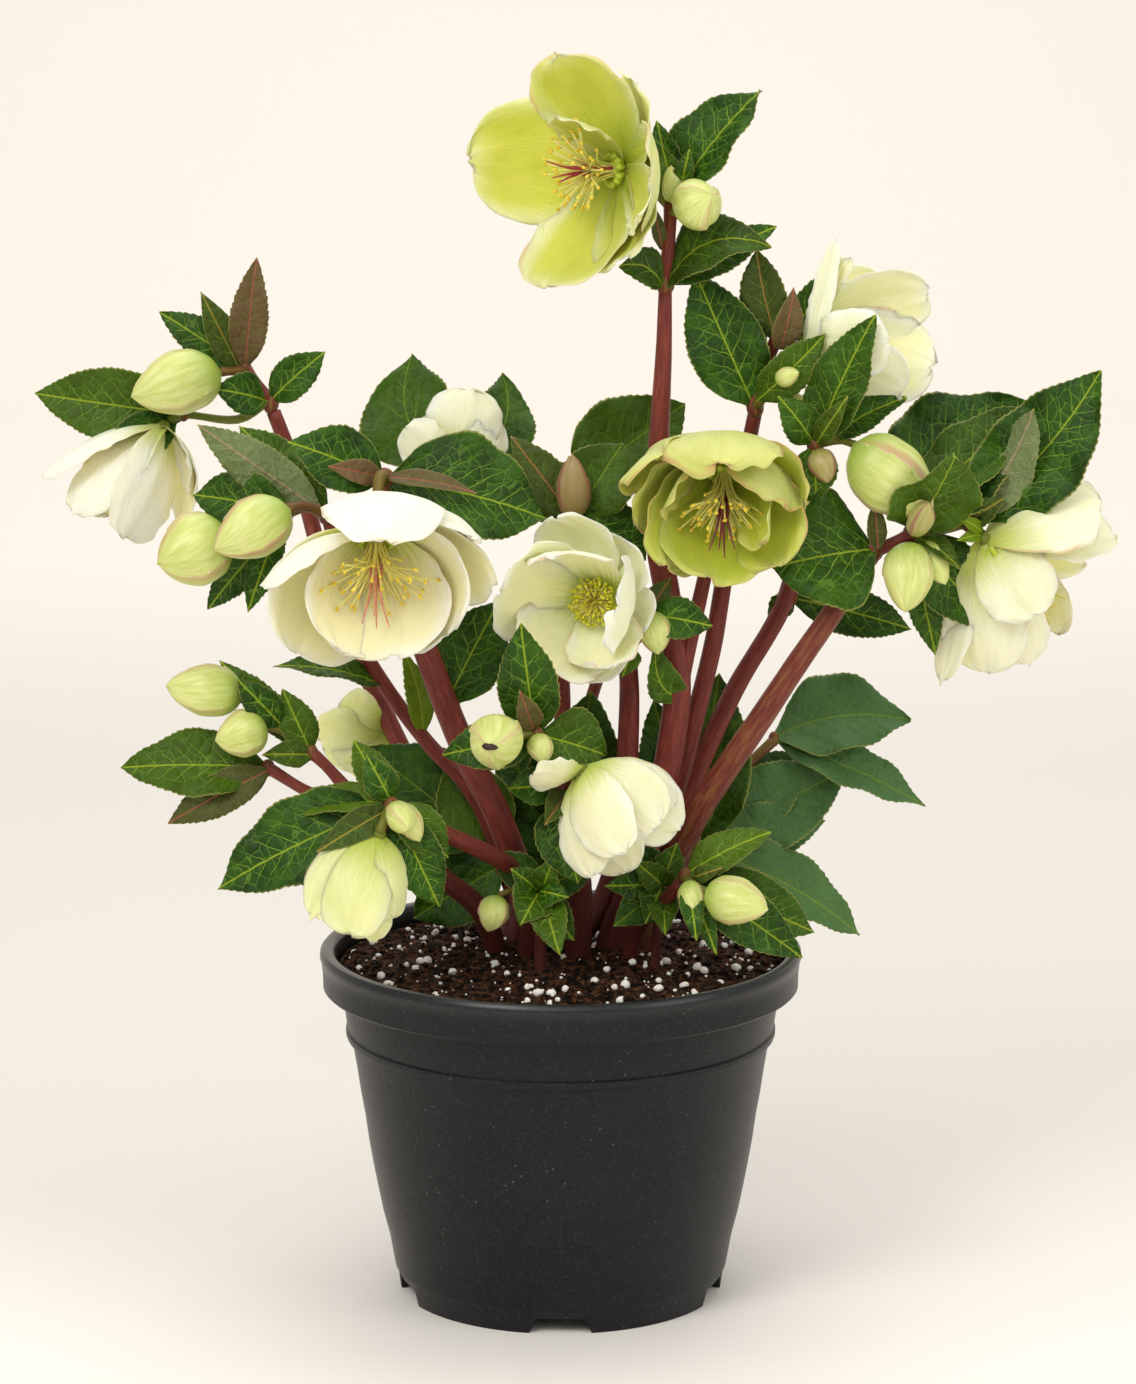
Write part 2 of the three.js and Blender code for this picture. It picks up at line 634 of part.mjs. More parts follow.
const sprays = {
  leaves_tall: [
    knob([34, 349, 4], 4.4),
    branch(2.5, [34, 348, 4], [35.5, 366, 4], [36, 377, 6]),
    branch(2, [36, 376, 6], [28, 384, 9], [19, 389, 9]),
    branch(1.6, [36, 374, 5], [40, 374, 0], [42, 374.5, -3]),
    knob([36.5, 377, 6], 3.4),
    leaf([37, 378, 7], [67.5, 416.5, 6], 26, [-0.5, -0.8, 0.5]),
    bud([36.5, 377, 4], [36, 390, 1], 7.5),
    leaf([34, 349, 3], [70.5, 362, -6], 16, skyward, 6),
    leaf([35, 356, 4], [74, 369, 11], 12),
  ],
  leaves_upper_right: [
    knob([65.5, 306, 8], 4.2),
    branch(2.5, [65.5, 306, 8], [70, 322, 8], [73.5, 331, 7]),
    branch(1.9, [66, 306, 6], [72.5, 317, 3], [79, 326, 4], [83, 328, 6]),
    leaf([65, 306, 7], [44.5, 353, 10], 27, [-0.2, -0.9, 0.4]),
    knob([73, 329, 7], 3.2),
    leaf([73, 329, 7], [66, 361, 6], 17, [-0.3, -0.95, 0.1]),
    leaf([66, 308, 4], [90, 331.5, -4], 15, [0.2, -1, 0.1]),
  ],
  leaves_shoulder: [
    knob([86.5, 292.5, 2], 4),
    branch(1.5, [86.5, 292.5, 1], [95.5, 294, -1], [102, 292, -4]),
    leaf([86.5, 293, 1], [107.5, 338, -14], 21, [-0.3, -0.9, 0.2]),
    leaf([89, 293, 2], [118.5, 309, 7], 14, [0, -0.7, 0.7]),
    bract([87, 293, 0], [98, 309.5, -17], 8),
    leaf([86, 293, 1], [73.5, 309.5, -4], 14),
    leaf([85.5, 292, 1], [87, 272.5, -5], 16),
  ],
  leaves_far_side: [
    leaf([78, 239, 31], [120, 228, 38], 18),
    leaf([79, 239, 31], [70, 232, 30], 9),
    knob([78.5, 239, 31], 2.6),
  ],
  leaves_right: [
    knob([107, 256, 1], 4.6),
    branch(2.4, [107, 255.5, 1], [112.5, 257.5, 1], [119.5, 261, 0]),
    branch(1.8, [119.5, 261, 0], [132, 263, 6], [140, 264.5, 7], [145, 261, 3]),
    leaf([107, 256, -1], [71.5, 249.5, -10], 44, [-0.1, -0.9, 0.4]),
    knob([120, 261.5, 1], 3.8),
    knob([140, 265, 7], 3.2),
    leaf([120, 262, 2], [135.5, 288.5, 6], 29, [-0.1, -1, 0.1]),
    leaf([120, 262, 5], [164, 307, 24], 46, [-0.2, -0.8, 0.5], 3, -7),
    leaf([141, 266, 6], [186.5, 318.5, 4], 36, [-0.2, -0.9, 0.3], 3, 4),
    leaf([141, 266, 4], [163, 305, -6], 16, underside),
    leaf([121, 261, 2], [147, 228, -5], 25),
  ],
  leaves_left: [
    knob([-64, 280, -12], 4.6),
    branch(2.2, [-64, 280, -12], [-66, 281, -24], [-67, 266, -31]),
    leaf([-63, 280, -12], [-7.5, 266.5, -12], 41, [0.1, -0.85, 0.5], 5),
    leaf([-65, 280, -12], [-98, 293.5, -16], 23, [-0.2, -0.8, 0.5]),
    bract([-65, 281, -15], [-84, 285, -24], 9),
  ],
  leaves_outer_left: [
    knob([-84.5, 268, -4], 3.8),
    branch(2, [-84.5, 268, -5], [-92, 271, -12], [-99, 270, -20]),
    branch(1.6, [-92, 271, -12], [-106, 265, -12], [-119, 260, -14]),
    knob([-98, 269, -11], 3),
    leaf([-86, 269, -6], [-129.5, 299.5, -12], 17, underside),
    leaf([-84, 268, -1], [-115, 299, 12], 18),
    leaf([-97, 269, -10], [-131, 275, 4], 21),
    leaf([-98, 268, -10], [-126, 235, 2], 15),
  ],
  leaves_middle: [
    knob([21, 219.5, -8], 4.4),
    branch(2.3, [21, 220, -8], [16, 231, -11], [9, 238.5, -14]),
    branch(1.5, [21, 220, -8], [27, 228, -9], [29, 234, -11]),
    bud([29, 234.5, -12], [31.5, 219.5, -17], 12),
    leaf([28, 233, -10], [50.5, 229, -14], 15),
    bract([27, 232, -10], [36, 246, -6], 9),
  ],
  leaves_centre_back: [
    knob([2, 266, 3], 3.4),
    bud([2, 266, 3], [1.5, 286.5, -1], 12.5),
    leaf([2, 266, 4], [-20, 295.5, 4], 16),
    leaf([2, 266, 4], [27, 252, 8], 15),
    leaf([3, 267, 5], [17, 291, 14], 16),
  ],
  leaves_front: [
    knob([-1.5, 170, -28], 4.6),
    branch(2.2, [-1.5, 170, -28], [-5.5, 182, -34], [-11, 191, -41]),
    branch(2.2, [-1.5, 170, -28], [2, 177, -36], [5, 178.5, -42]),
    branch(1.6, [-11, 191, -41], [-16, 191, -44], [-20, 190.5, -46]),
    knob([-11, 191, -41], 3.6),
    leaf([-11, 191, -40], [-16.5, 230, -46], 21, [-0.1, -0.95, 0.25]),
    leaf([-11, 190, -40], [-44, 184, -44], 18),
    leaf([-10, 191, -40], [13, 184, -33], 25),
    leaf([-2, 169, -29], [3.5, 139, -38], 22, [-0.2, -0.95, 0.2]),
  ],
  leaves_lower_left: [
    knob([-62, 166, -58], 4),
    branch(1.7, [-62, 166, -58], [-64, 162, -65], [-66, 157, -68]),
    leaf([-63, 166, -58], [-122.5, 137, -56], 31, [-0.1, -0.85, 0.5], 5),
    bract([-63, 165, -60], [-88, 150, -72], 11),
    leaf([-62, 167, -57], [-75, 189, -50], 12),
    leaf([-61, 165, -59], [-45, 131, -57], 18),
    bud([-61, 166, -60], [-56, 158, -73], 10),
  ],
  leaves_mid_left: [
    knob([-74, 168, -12], 4),
    branch(2.3, [-74, 168, -12], [-85, 180.5, -12], [-90, 185, -12]),
    branch(2.2, [-74, 167, -12], [-88.5, 170, -14], [-105, 179.5, -16]),
    branch(1.6, [-90, 185, -12], [-100, 194, -13], [-114, 205, -13]),
    branch(1.6, [-96, 190, -13], [-101, 193, -15], [-106, 193.5, -18]),
    knob([-90, 185, -12], 3.2),
    knob([-105, 179.5, -15], 3.2),
    leaf([-91, 186, -11], [-122, 217, -4], 12),
    leaf([-90, 185, -12], [-100, 207, -12], 13),
    leaf([-105, 179.5, -14], [-156.5, 179.5, -12], 25, [-0.1, -0.85, 0.5]),
  ],
  leaves_far_left: [
    knob([-104, 307, 86], 4),
    branch(2.6, [-104, 307, 86], [-108, 312, 86], [-113, 319, 85]),
    branch(1.6, [-105, 308, 85], [-115, 301.5, 84], [-135, 303, 83], [-139.5, 301, 79]),
    branch(1.8, [-113, 318.5, 84], [-121.5, 318, 77]),
    knob([-134.5, 303, 83], 2.6),
    knob([-113, 319, 85], 3.4),
    leaf([-133.5, 303, 83.5], [-186.5, 310.5, 90], 27, [0, -1, 0.1]),
    leaf([-113, 319, 86], [-143, 339, 89], 15),
    leaf([-113, 319, 84], [-109, 358, 79], 14),
    leaf([-104, 308, 85], [-85, 325, 82], 15),
  ],
  leaves_back: [
    stalk(2.3, [-13, 26], [-25, 150, 27], [-38, 190, 30], [-42, 225, 34], [-41, 262, 40], [-39.5, 282, 47]),
    knob([-39.5, 281, 47], 3.4),
    leaf([-40, 281, 50], [-54.5, 324, 74], 36, towardFront, 3, -9),
    leaf([-38, 281, 50], [-23, 317.5, 76], 24, towardFront, 3, 8),
    leaf([-27, 152, 28], [-70.5, 186.5, 44], 36),
  ],
  leaves_tall_back: [
    stalk(2.2, [-2, 30], [-1, 151, 34], [3, 182, 38], [8, 203, 42], [13, 222, 46], [9, 262, 52],
      [1, 281, 52]),
    leaf([2, 278, 52], [41, 307, 60], 35),
    leaf([0, 156, 33], [8, 206, 23], 36),
    leaf([-1, 146, 33], [-22, 188, 46], 32),
    leaf([-2, 148, 33], [-44, 168.5, 40], 26),
  ],
  leaves_lower_right: [
    knob([41, 141.5, -41], 3.2),
    branch(1.4, [41, 141, -42], [45, 138, -47], [49, 136, -51]),
    leaf([41, 142, -41], [71, 157, -42], 14, [0, -0.8, 0.6]),
    leaf([42, 140, -41], [52, 114, -54], 8),
    leaf([42, 141, -40], [82, 113, -42], 19),
    leaf([42, 141, -39], [86, 122, -30], 22),
  ],
  leaves_back_right: [
    stalk(2.6, [22, 26], [36, 140, 36], [44, 152, 41]),
    branch(2, [43, 151, 40], [60, 177, 50], [73, 190, 54]),
    leaf([43, 150, 41], [53, 212.5, 50], 34),
    leaf([43, 150, 41], [30, 203.5, 46], 26),
    leaf([44, 151, 42], [83.5, 185, 62], 28),
    knob([72, 189.5, 54], 2.8),
    knob([44, 151, 41], 3.6),
    leaf([72, 190, 54], [120, 196, 60], 32, [0, -0.8, 0.6], 3, -4),
    leaf([73, 189, 53], [125, 166, 50], 20, [0.2, -0.7, 0.7]),
    leaf([44, 151, 41], [98, 179, 58], 32),
    leaf([46, 151, 40], [102, 121, 34], 24, [0.2, -0.8, 0.6], 8),
  ],
  leaves_crown: [
    stalk(2, [-7, -22], [-10, 137, -24]),
    branch(1.2, [-10, 136, -24], [-18, 137, -28], [-24, 135, -31]),
    bud([-24, 135, -31], [-28, 122.5, -35], 11),
    knob([-10, 136, -24], 2.6),
    leaf([-10, 136, -25], [-16.5, 124.5, -40], 15),
    leaf([-9, 135, -25], [-3, 112.5, -50], 11),
  ],
  leaves_crown_right: [
    stalk(1.6, [33, -18], [33, 140, -20]),
    leaf([33, 138, -20], [28, 129, -32], 11),
    leaf([33, 138, -20], [15, 138, -24], 8),
    leaf([33, 138, -20], [37, 152, -18], 9),
  ],
};

// ---------------------------------------------------------------- the whole plant

// every piece in turn is cut free of the ones before it, with the fit gap left between
const bloomLook = {
  bloom_tall: finish.limeBloom,
  bloom_bell: finish.limeBloom,
  bloom_lime: finish.greenBloom,
};
const recipes = [];
for (const [name, parts] of Object.entries(stems)) {
  recipes.push({ name, parts, look: finish.stem });
}
for (const [name, parts] of Object.entries(blooms)) {
  recipes.push({ name, parts, look: bloomLook[name] ?? finish.whiteBloom });
}
for (const [name, fan] of Object.entries(stamens)) {
  recipes.push({ name, parts: [fan], look: finish.stamens });
}
for (const [name, parts] of Object.entries(buds)) {
  recipes.push({ name, parts, look: finish.bud });
}
for (const [name, parts] of Object.entries(sprays)) {
  recipes.push({ name, parts, look: finish.leaf });
}

function boxesMeet(a, b) {
  return [0, 1, 2].every((axis) => a.min[axis] < b.max[axis] && b.min[axis] < a.max[axis]);
}

const plant = new THREE.Group();

function addPiece(name, solid, look) {
  const mesh = new THREE.Mesh(toGeometry(solid), new THREE.MeshStandardMaterial(look));
  mesh.name = name;
  plant.add(mesh);
}

const pot = potSolid();
let soil = soilSolid();
const standing = [];
for (const { name, parts, look } of recipes) {
  let solid = join(parts.map((part) => part(0)));
  const whole = solid.volume();
  const box = solid.boundingBox();
  for (const other of standing) {
    if (boxesMeet(box, other.box)) {
      solid = solid.subtract(other.clearance);
    }
  }
  solid = largestBody(solid);
  const clearance = join(parts.map((part) => part(fitGap)));
  standing.push({ name, clearance, box: clearance.boundingBox() });
  if (boxesMeet(box, soil.boundingBox())) {
    soil = soil.subtract(clearance);
  }
  addPiece(name, solid, look);
}
addPiece('pot', pot, finish.pot);
addPiece('soil', largestBody(soil), finish.soil);

export default plant;
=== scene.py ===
import bpy
import bmesh
import math
import numpy as np
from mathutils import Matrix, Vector


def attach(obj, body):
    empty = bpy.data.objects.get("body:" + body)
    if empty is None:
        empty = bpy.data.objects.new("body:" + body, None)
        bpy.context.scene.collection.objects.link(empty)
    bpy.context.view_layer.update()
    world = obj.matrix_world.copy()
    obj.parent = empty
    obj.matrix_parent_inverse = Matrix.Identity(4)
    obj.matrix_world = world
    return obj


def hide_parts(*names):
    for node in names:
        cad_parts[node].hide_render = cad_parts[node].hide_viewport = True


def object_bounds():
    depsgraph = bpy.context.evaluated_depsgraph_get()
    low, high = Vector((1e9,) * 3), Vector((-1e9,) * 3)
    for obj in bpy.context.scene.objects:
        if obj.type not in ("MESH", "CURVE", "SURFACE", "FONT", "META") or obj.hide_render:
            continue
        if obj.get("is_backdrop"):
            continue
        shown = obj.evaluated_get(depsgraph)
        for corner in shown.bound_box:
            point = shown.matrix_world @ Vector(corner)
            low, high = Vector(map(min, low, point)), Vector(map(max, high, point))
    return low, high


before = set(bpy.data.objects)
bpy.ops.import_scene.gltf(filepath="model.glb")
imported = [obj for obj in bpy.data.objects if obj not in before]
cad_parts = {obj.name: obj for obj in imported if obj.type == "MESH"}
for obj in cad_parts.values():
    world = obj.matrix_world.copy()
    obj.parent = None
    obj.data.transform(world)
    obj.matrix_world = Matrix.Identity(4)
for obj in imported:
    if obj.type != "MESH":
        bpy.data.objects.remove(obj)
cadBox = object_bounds()
print("frame loaded:", len(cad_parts), "nodes")

fullTurn = 2 * math.pi
mmPerMetre = 1000.0

# front sheet: across and up in mm are read on it, back is how far behind the pot's axis a point lies
sheet = {
    "eye": (2.6, -1540.0, 514.0),
    "pitch": 0.1916,          # how far the view tips down
    "distance": 1571.5,       # from the eye to the sheet
    "sightHeight": 206.0,     # height on the sheet that the view is centred on
    "lens": 116.8,
    "filmHeight": 36.0,
}
eyePoint = np.array(sheet["eye"])
sheetForward = np.array([0, math.cos(sheet["pitch"]), -math.sin(sheet["pitch"])])
sheetUp = np.array([0, math.sin(sheet["pitch"]), math.cos(sheet["pitch"])])
sheetCentre = eyePoint + sheetForward * sheet["distance"]


def place(spot):
    # millimetres, on the ray through the sheet point at that depth
    across, up, back = spot
    ray = sheetCentre + np.array([across, 0, 0]) + sheetUp * (up - sheet["sightHeight"]) - eyePoint
    return eyePoint + ray * ((back - eyePoint[1]) / ray[1])


def unit(vectors):
    return vectors / np.maximum(np.linalg.norm(vectors, axis=-1, keepdims=True), 1e-9)


def smoothCurve(stations, values, at):
    # monotone cubic through the stations
    stations, values = np.array(stations, float), np.array(values, float)
    step = np.diff(stations)
    slope = np.diff(values) / step
    before, after = slope[:-1], slope[1:]
    tangent = np.zeros(len(values))
    tangent[1:-1] = np.where(before * after > 0, 2 * before * after / (before + after + 1e-12), 0)
    tangent[0], tangent[-1] = slope[0], slope[-1]
    i = np.clip(np.searchsorted(stations, at, side="right") - 1, 0, len(step) - 1)
    t = (at - stations[i]) / step[i]
    h = step[i]
    return (values[i] * (2 * t**3 - 3 * t**2 + 1) + h * tangent[i] * (t**3 - 2 * t**2 + t)
            + values[i + 1] * (3 * t**2 - 2 * t**3) + h * tangent[i + 1] * (t**3 - t**2))


def stepUp(low, high, x):
    t = np.clip((x - low) / (high - low), 0, 1)
    return t * t * (3 - 2 * t)


def wobble(seed, *coordinates):
    # smooth repeatable waviness, about -1 to 1
    draw = np.random.default_rng(seed)
    total = 0
    for octave in range(4):
        phase = draw.uniform(0, fullTurn)
        way = sum(c * draw.uniform(-1, 1) * (1 + octave) for c in coordinates)
        total = total + np.sin(way + phase) / (1 + octave)
    return total / 2


def triples(*values):
    # numbers and grids of numbers to one grid of threes
    return np.stack(np.broadcast_arrays(*values), axis=-1)


def around(first, second, angle):
    # turned from the first axis toward the second
    return first * np.cos(angle)[..., None] + second * np.sin(angle)[..., None]


def luckOf(seed):
    return (seed * 0.37) % 1


class Growth:
    # gathers the grids of one piece of the plant, then makes one mesh object of them
    def __init__(self, name):
        self.name = name
        self.points, self.faces, self.slots, self.maps, self.tones = [], [], [], [], []
        self.count = 0
        self.finishes = []

    def addQuads(self, quads, finish):
        if finish not in self.finishes:
            self.finishes.append(finish)
        self.faces.append(np.array(quads))
        self.slots.append(np.full(len(quads), self.finishes.index(finish)))

    def addGrid(self, grid, finish, mapping=(0, 0, 0), tone=(0, 0, 0), wrap=False, flip=False):
        along, across = grid.shape[:2]
        index = np.arange(along * across).reshape(along, across) + self.count
        if wrap:
            index = np.concatenate([index, index[:, :1]], axis=1)
        a, b, c, d = index[:-1, :-1], index[:-1, 1:], index[1:, 1:], index[1:, :-1]
        self.addQuads(np.stack([a, d, c, b] if flip else [a, b, c, d], axis=-1).reshape(-1, 4), finish)
        for kept, values in ((self.points, grid), (self.maps, mapping), (self.tones, tone)):
            kept.append(np.broadcast_to(values, grid.shape).reshape(-1, 3))
        self.count += along * across
        return index

    def make(self):
        mesh = bpy.data.meshes.new(self.name)
        faces = np.concatenate(self.faces)
        mesh.from_pydata((np.concatenate(self.points) / mmPerMetre).tolist(), [], faces.tolist())
        for label, values in (("leafMap", self.maps), ("leafTone", self.tones)):
            layer = mesh.attributes.new(label, "FLOAT_VECTOR", "POINT")
            layer.data.foreach_set("vector", np.concatenate(values).astype(np.float32).ravel())
        mesh.polygons.foreach_set("material_index", np.concatenate(self.slots).astype(np.int32))
        mesh.polygons.foreach_set("use_smooth", np.ones(len(faces), bool))
        for finish in self.finishes:
            mesh.materials.append(finishes[finish])
        mesh.validate()
        mesh.update()
        piece = bpy.data.objects.new(self.name, mesh)
        bpy.context.scene.collection.objects.link(piece)
        return piece


def addBlade(growth, grid, thickness, faces, mapping, tone):
    # a thin closed blade: upper grid, lower grid and the rim between them
    normals = unit(np.cross(np.gradient(grid, axis=1), np.gradient(grid, axis=0)))
    across = np.abs(np.linspace(-1, 1, grid.shape[1]))[None, :, None]
    half = normals * thickness * (1 - 0.7 * across**6) / 2
    upper = growth.addGrid(grid + half, faces[0], mapping, tone)
    lower = growth.addGrid(grid - half, faces[1], mapping, tone, flip=True)
    rim = []
    for i in range(grid.shape[0] - 1):
        rim.append([upper[i, 0], upper[i + 1, 0], lower[i + 1, 0], lower[i, 0]])
        rim.append([upper[i + 1, -1], upper[i, -1], lower[i, -1], lower[i + 1, -1]])
    for j in range(grid.shape[1] - 1):
        rim.append([upper[0, j + 1], upper[0, j], lower[0, j], lower[0, j + 1]])
        rim.append([upper[-1, j], upper[-1, j + 1], lower[-1, j + 1], lower[-1, j]])
    growth.addQuads(rim, faces[0])


def bladeFrame(start, end, look):
    # length, way to the tip, way of the upper face and way to the side
    length = np.linalg.norm(end - start)
    ahead = (end - start) / length
    face = np.array(look, float)
    face = unit(face - ahead * face.dot(ahead))
    return length, ahead, face, np.cross(ahead, face)


# leaves, leaflets and bracts
leafCut = {
    "stations": [0, 0.05, 0.15, 0.3, 0.46, 0.64, 0.8, 0.92, 1],
    "halves": [0.08, 0.26, 0.66, 0.95, 1.0, 0.87, 0.57, 0.26, 0.0],
    "rowsPerMm": 1.5,
    "rowLimits": (18, 84),
    "columnsPerMm": 0.62,
    "columnLimits": (4, 9),
    "crowding": 0.8,          # below 1 the columns lie closer at the margins
    "teethPerMm": 0.40,       # along one margin
    "toothFrom": 0.78,        # share of the half width where a tooth begins
    "toothDepth": 0.62,       # mm
    "toothLean": 0.9,         # mm toward the tip
    "veinSpacing": 6.4,       # mm between side veins
    "veinSlope": 0.95,        # how far a side vein leans to the tip
    "veinBow": 0.012,         # and how it bends on the way
    "quilt": 0.6,             # mm that the blade swells between veins
    "ribGroove": 0.9,         # mm, half width of the groove over the midrib
    "ripple": 0.055,          # share of the width
    "ripplePace": 0.33,       # radians to a mm
    "droopShare": 0.3,
    "droopPower": 2.5,
    "twist": 0.1,
    "thickness": 0.5,
}
bractCut = dict(leafCut, stations=[0, 0.12, 0.35, 0.6, 0.82, 1], halves=[0.3, 0.62, 1.0, 0.86, 0.44, 0.0],
                toothDepth=0.2, toothLean=0.2, quilt=0.15)
towardFront = (0, -1, 0.35)
underside = (0.3, 0.8, -0.4)
skyward = (-0.2, -0.5, 0.8)


def leaf(base, tip, wide, look=towardFront, rise=3, sweep=0, fold=0.28, droop=0, age=0.0, wave=1.0,
         cut=leafCut, haze=0):
    form = dict(locals())
    return lambda growth, seed: addLeaf(growth, seed, form)


def bract(base, tip, wide, look=towardFront, rise=1.5, sweep=0, fold=0.4, droop=0, age=0.7, wave=0.4):
    return leaf(base, tip, wide, look, rise, sweep, fold, droop, age, wave, bractCut)


def addLeaf(growth, seed, form):
    cut, wide = form["cut"], form["wide"]
    draw = np.random.default_rng(seed)
    root = place(form["base"])
    length, ahead, face, side = bladeFrame(root, place(form["tip"]), form["look"])
    rows = int(np.clip(length * cut["rowsPerMm"], *cut["rowLimits"]))
    columns = 2 * int(np.clip(wide * cut["columnsPerMm"] / 2, *cut["columnLimits"])) + 1
    u = np.linspace(0, 1, rows)[:, None]
    v = np.linspace(-1, 1, columns)[None, :]
    v = np.sign(v) * np.abs(v) ** cut["crowding"]
    half = smoothCurve(cut["stations"], cut["halves"], u) * wide / 2
    narrow = np.minimum(1, half / 4)
    fromRib = v * half
    arch = 4 * u * (1 - u)
    # saw teeth along the margins
    teeth = max(5, round(length * cut["teethPerMm"]))
    saw = (u * teeth + 0.25 * np.sign(v)) % 1.0
    atEdge = stepUp(cut["toothFrom"], 1.0, np.abs(v))
    tooth = atEdge * cut["toothDepth"] * (saw - 0.35) * stepUp(0.06, 0.2, u) * narrow
    across = fromRib + np.sign(v) * tooth + form["sweep"] * arch
    along = u * length + atEdge * cut["toothLean"] * saw * stepUp(0.0, 0.2, u) * (1 - u)
    # fold at the midrib, waves of the margin and swellings between the side veins
    lift = form["rise"] * arch - form["droop"] * u ** cut["droopPower"] * length * cut["droopShare"]
    fold = form["fold"] * (np.sqrt(fromRib**2 + 1.2) - 1.1)
    phase = u * length * cut["ripplePace"] + draw.uniform(0, 6) + 1.3 * np.sign(v)
    ripple = form["wave"] * cut["ripple"] * wide * np.sin(phase) * np.abs(v) ** 2.2
    vein = u * length - cut["veinSlope"] * np.abs(fromRib) - cut["veinBow"] * fromRib**2
    vein = vein / cut["veinSpacing"]
    swell = np.abs(np.sin(math.pi * vein)) ** 0.6 - 0.6
    swell = cut["quilt"] * swell * (1 - np.abs(v) ** 6) * stepUp(0.02, 0.15, u)
    swell = swell - 0.5 * cut["quilt"] * np.exp(-(fromRib / cut["ribGroove"]) ** 2)
    lift = lift + fold + ripple + swell * narrow
    twist = draw.uniform(-cut["twist"], cut["twist"]) * u
    grid = (root + ahead * along[..., None] + side * (across * np.cos(twist))[..., None]
            + face * (lift + across * np.sin(twist))[..., None])
    # haze 1 softens the veins, haze 2 also brings in the painted sheen colour
    luck = draw.uniform(0, 1) + 2 * form["haze"]
    addBlade(growth, grid, cut["thickness"], ("leafUpper", "leafUnder"),
             triples(u * length, fromRib, vein), triples(form["age"], luck, np.abs(v) + 0 * u))


# sepals of the blooms
sepalCut = {
    "stations": [0, 0.08, 0.2, 0.3, 0.42, 0.55, 0.68, 0.82, 0.92, 1],
    "halves": [0.16, 0.42, 0.76, 0.92, 1.0, 0.95, 0.80, 0.56, 0.34, 0.12],
    "rows": 38,
    "columns": 29,
    "thickness": 0.4,
    "dish": 0.28,
    "scallop": 0.05,          # share of the half width
    "nick": 0.28,             # mm, small uneven bites of the margin
    "wave": 0.05,             # share of the width
    "ruffle": 0.55,           # mm at the margin
    "ruffles": 9,             # round the whole margin
    "crease": 0.3,            # mm, fine folds along the sepal
    "layerStep": (0.4, 1.2),  # mm between overlapping sepals, at the root and more beyond it
    "twist": 0.2,
    "tipWave": 0.03,          # share of the length that the tip's outline strays
    "tipBite": 0.012,
}


def sepal(tip, wide, belly, **more):
    form = dict(tip=tip, wide=wide, belly=belly, sweep=0, wave=1.0, look=None, dish=sepalCut["dish"],
                twist=sepalCut["twist"], flush=None, point=0.0, foot=None)
    form.update(more)
    return form


def addSepal(growth, seed, root, axis, form, kind, layer):
    cut, wide = sepalCut, form["wide"]
    draw = np.random.default_rng(seed)
    start = place(form["foot"] or root)
    length, ahead, face, side = bladeFrame(start, place(form["tip"]), form["look"] or axis)
    cosine, sine = math.cos(form["twist"]), math.sin(form["twist"])
    face, side = face * cosine - side * sine, side * cosine + face * sine
    t = np.linspace(0, 1, cut["rows"])[:, None]
    u = np.sin(t * math.pi / 2) ** 1.1
    v = np.linspace(-1, 1, cut["columns"])[None, :]
    half = smoothCurve(cut["stations"], cut["halves"], t) * wide / 2
    arch = 4 * u * (1 - u)
    edge = np.maximum(np.abs(v), t)
    atEdge = np.abs(v) ** 3
    # uneven outline
    frill = wobble(seed + 5, 9 * u, 2.2 * np.sign(v))
    nick = cut["nick"] * wobble(seed + 6, 40 * u, 9 * v) * np.abs(v) ** 6
    across = v * half * (1 + atEdge * cut["scallop"] * frill) + nick * np.sign(v)
    tipWay = cut["tipWave"] * wobble(seed + 9, 4 * v) + cut["tipBite"] * wobble(seed + 10, 16 * v)
    along = u * length * (1 + tipWay * stepUp(0.6, 1, u))
    along = along + form["point"] * np.exp(-(v / 0.25) ** 2) * stepUp(0.85, 1, u)
    # cupped across, bellied along, then waved, ruffled and creased
    lift = form["dish"] * across**2 / (wide / 2) - form["belly"] * arch
    lift = lift + layer * (cut["layerStep"][0] + cut["layerStep"][1] * stepUp(0, 0.3, u))
    wave = form["wave"] * cut["wave"] * wide * wobble(seed + 3, 6 * u, 3.2 * v)
    lift = lift + wave * stepUp(0.3, 1, u) * (0.3 + atEdge)
    rimWay = np.arctan2(v * half, (u - 0.5) * length)
    ruffle = np.sin(rimWay * cut["ruffles"] + 2.5 * wobble(seed + 7, 2 * rimWay))
    lift = lift + form["wave"] * cut["ruffle"] * ruffle * edge**5 * stepUp(0.25, 0.6, u)
    lift = lift + cut["crease"] * wobble(seed + 4, 12 * v, 2 * u) * stepUp(0.1, 0.5, u)
    across = across + form["sweep"] * arch
    grid = start + ahead * along[..., None] + side * across[..., None] + face * lift[..., None]
    mapping = triples(u + 0 * v, v, draw.uniform(0, 40))
    flush = draw.uniform(0, 1) if form["flush"] is None else form["flush"]
    tone = triples(flush, across, edge)
    addBlade(growth, grid, cut["thickness"], (kind + "Inner", kind + "Outer"), mapping, tone)


# stems, branches, knobs
stemCut = {
    "sides": 16,
    "branchSides": 12,
    "stepMm": 3.2,
    "ridge": 0.018,           # five faint ribs, as a share of the radius
    "bulge": 0.03,
    "rootDepth": 14,          # mm that a stalk goes on below the soil
}


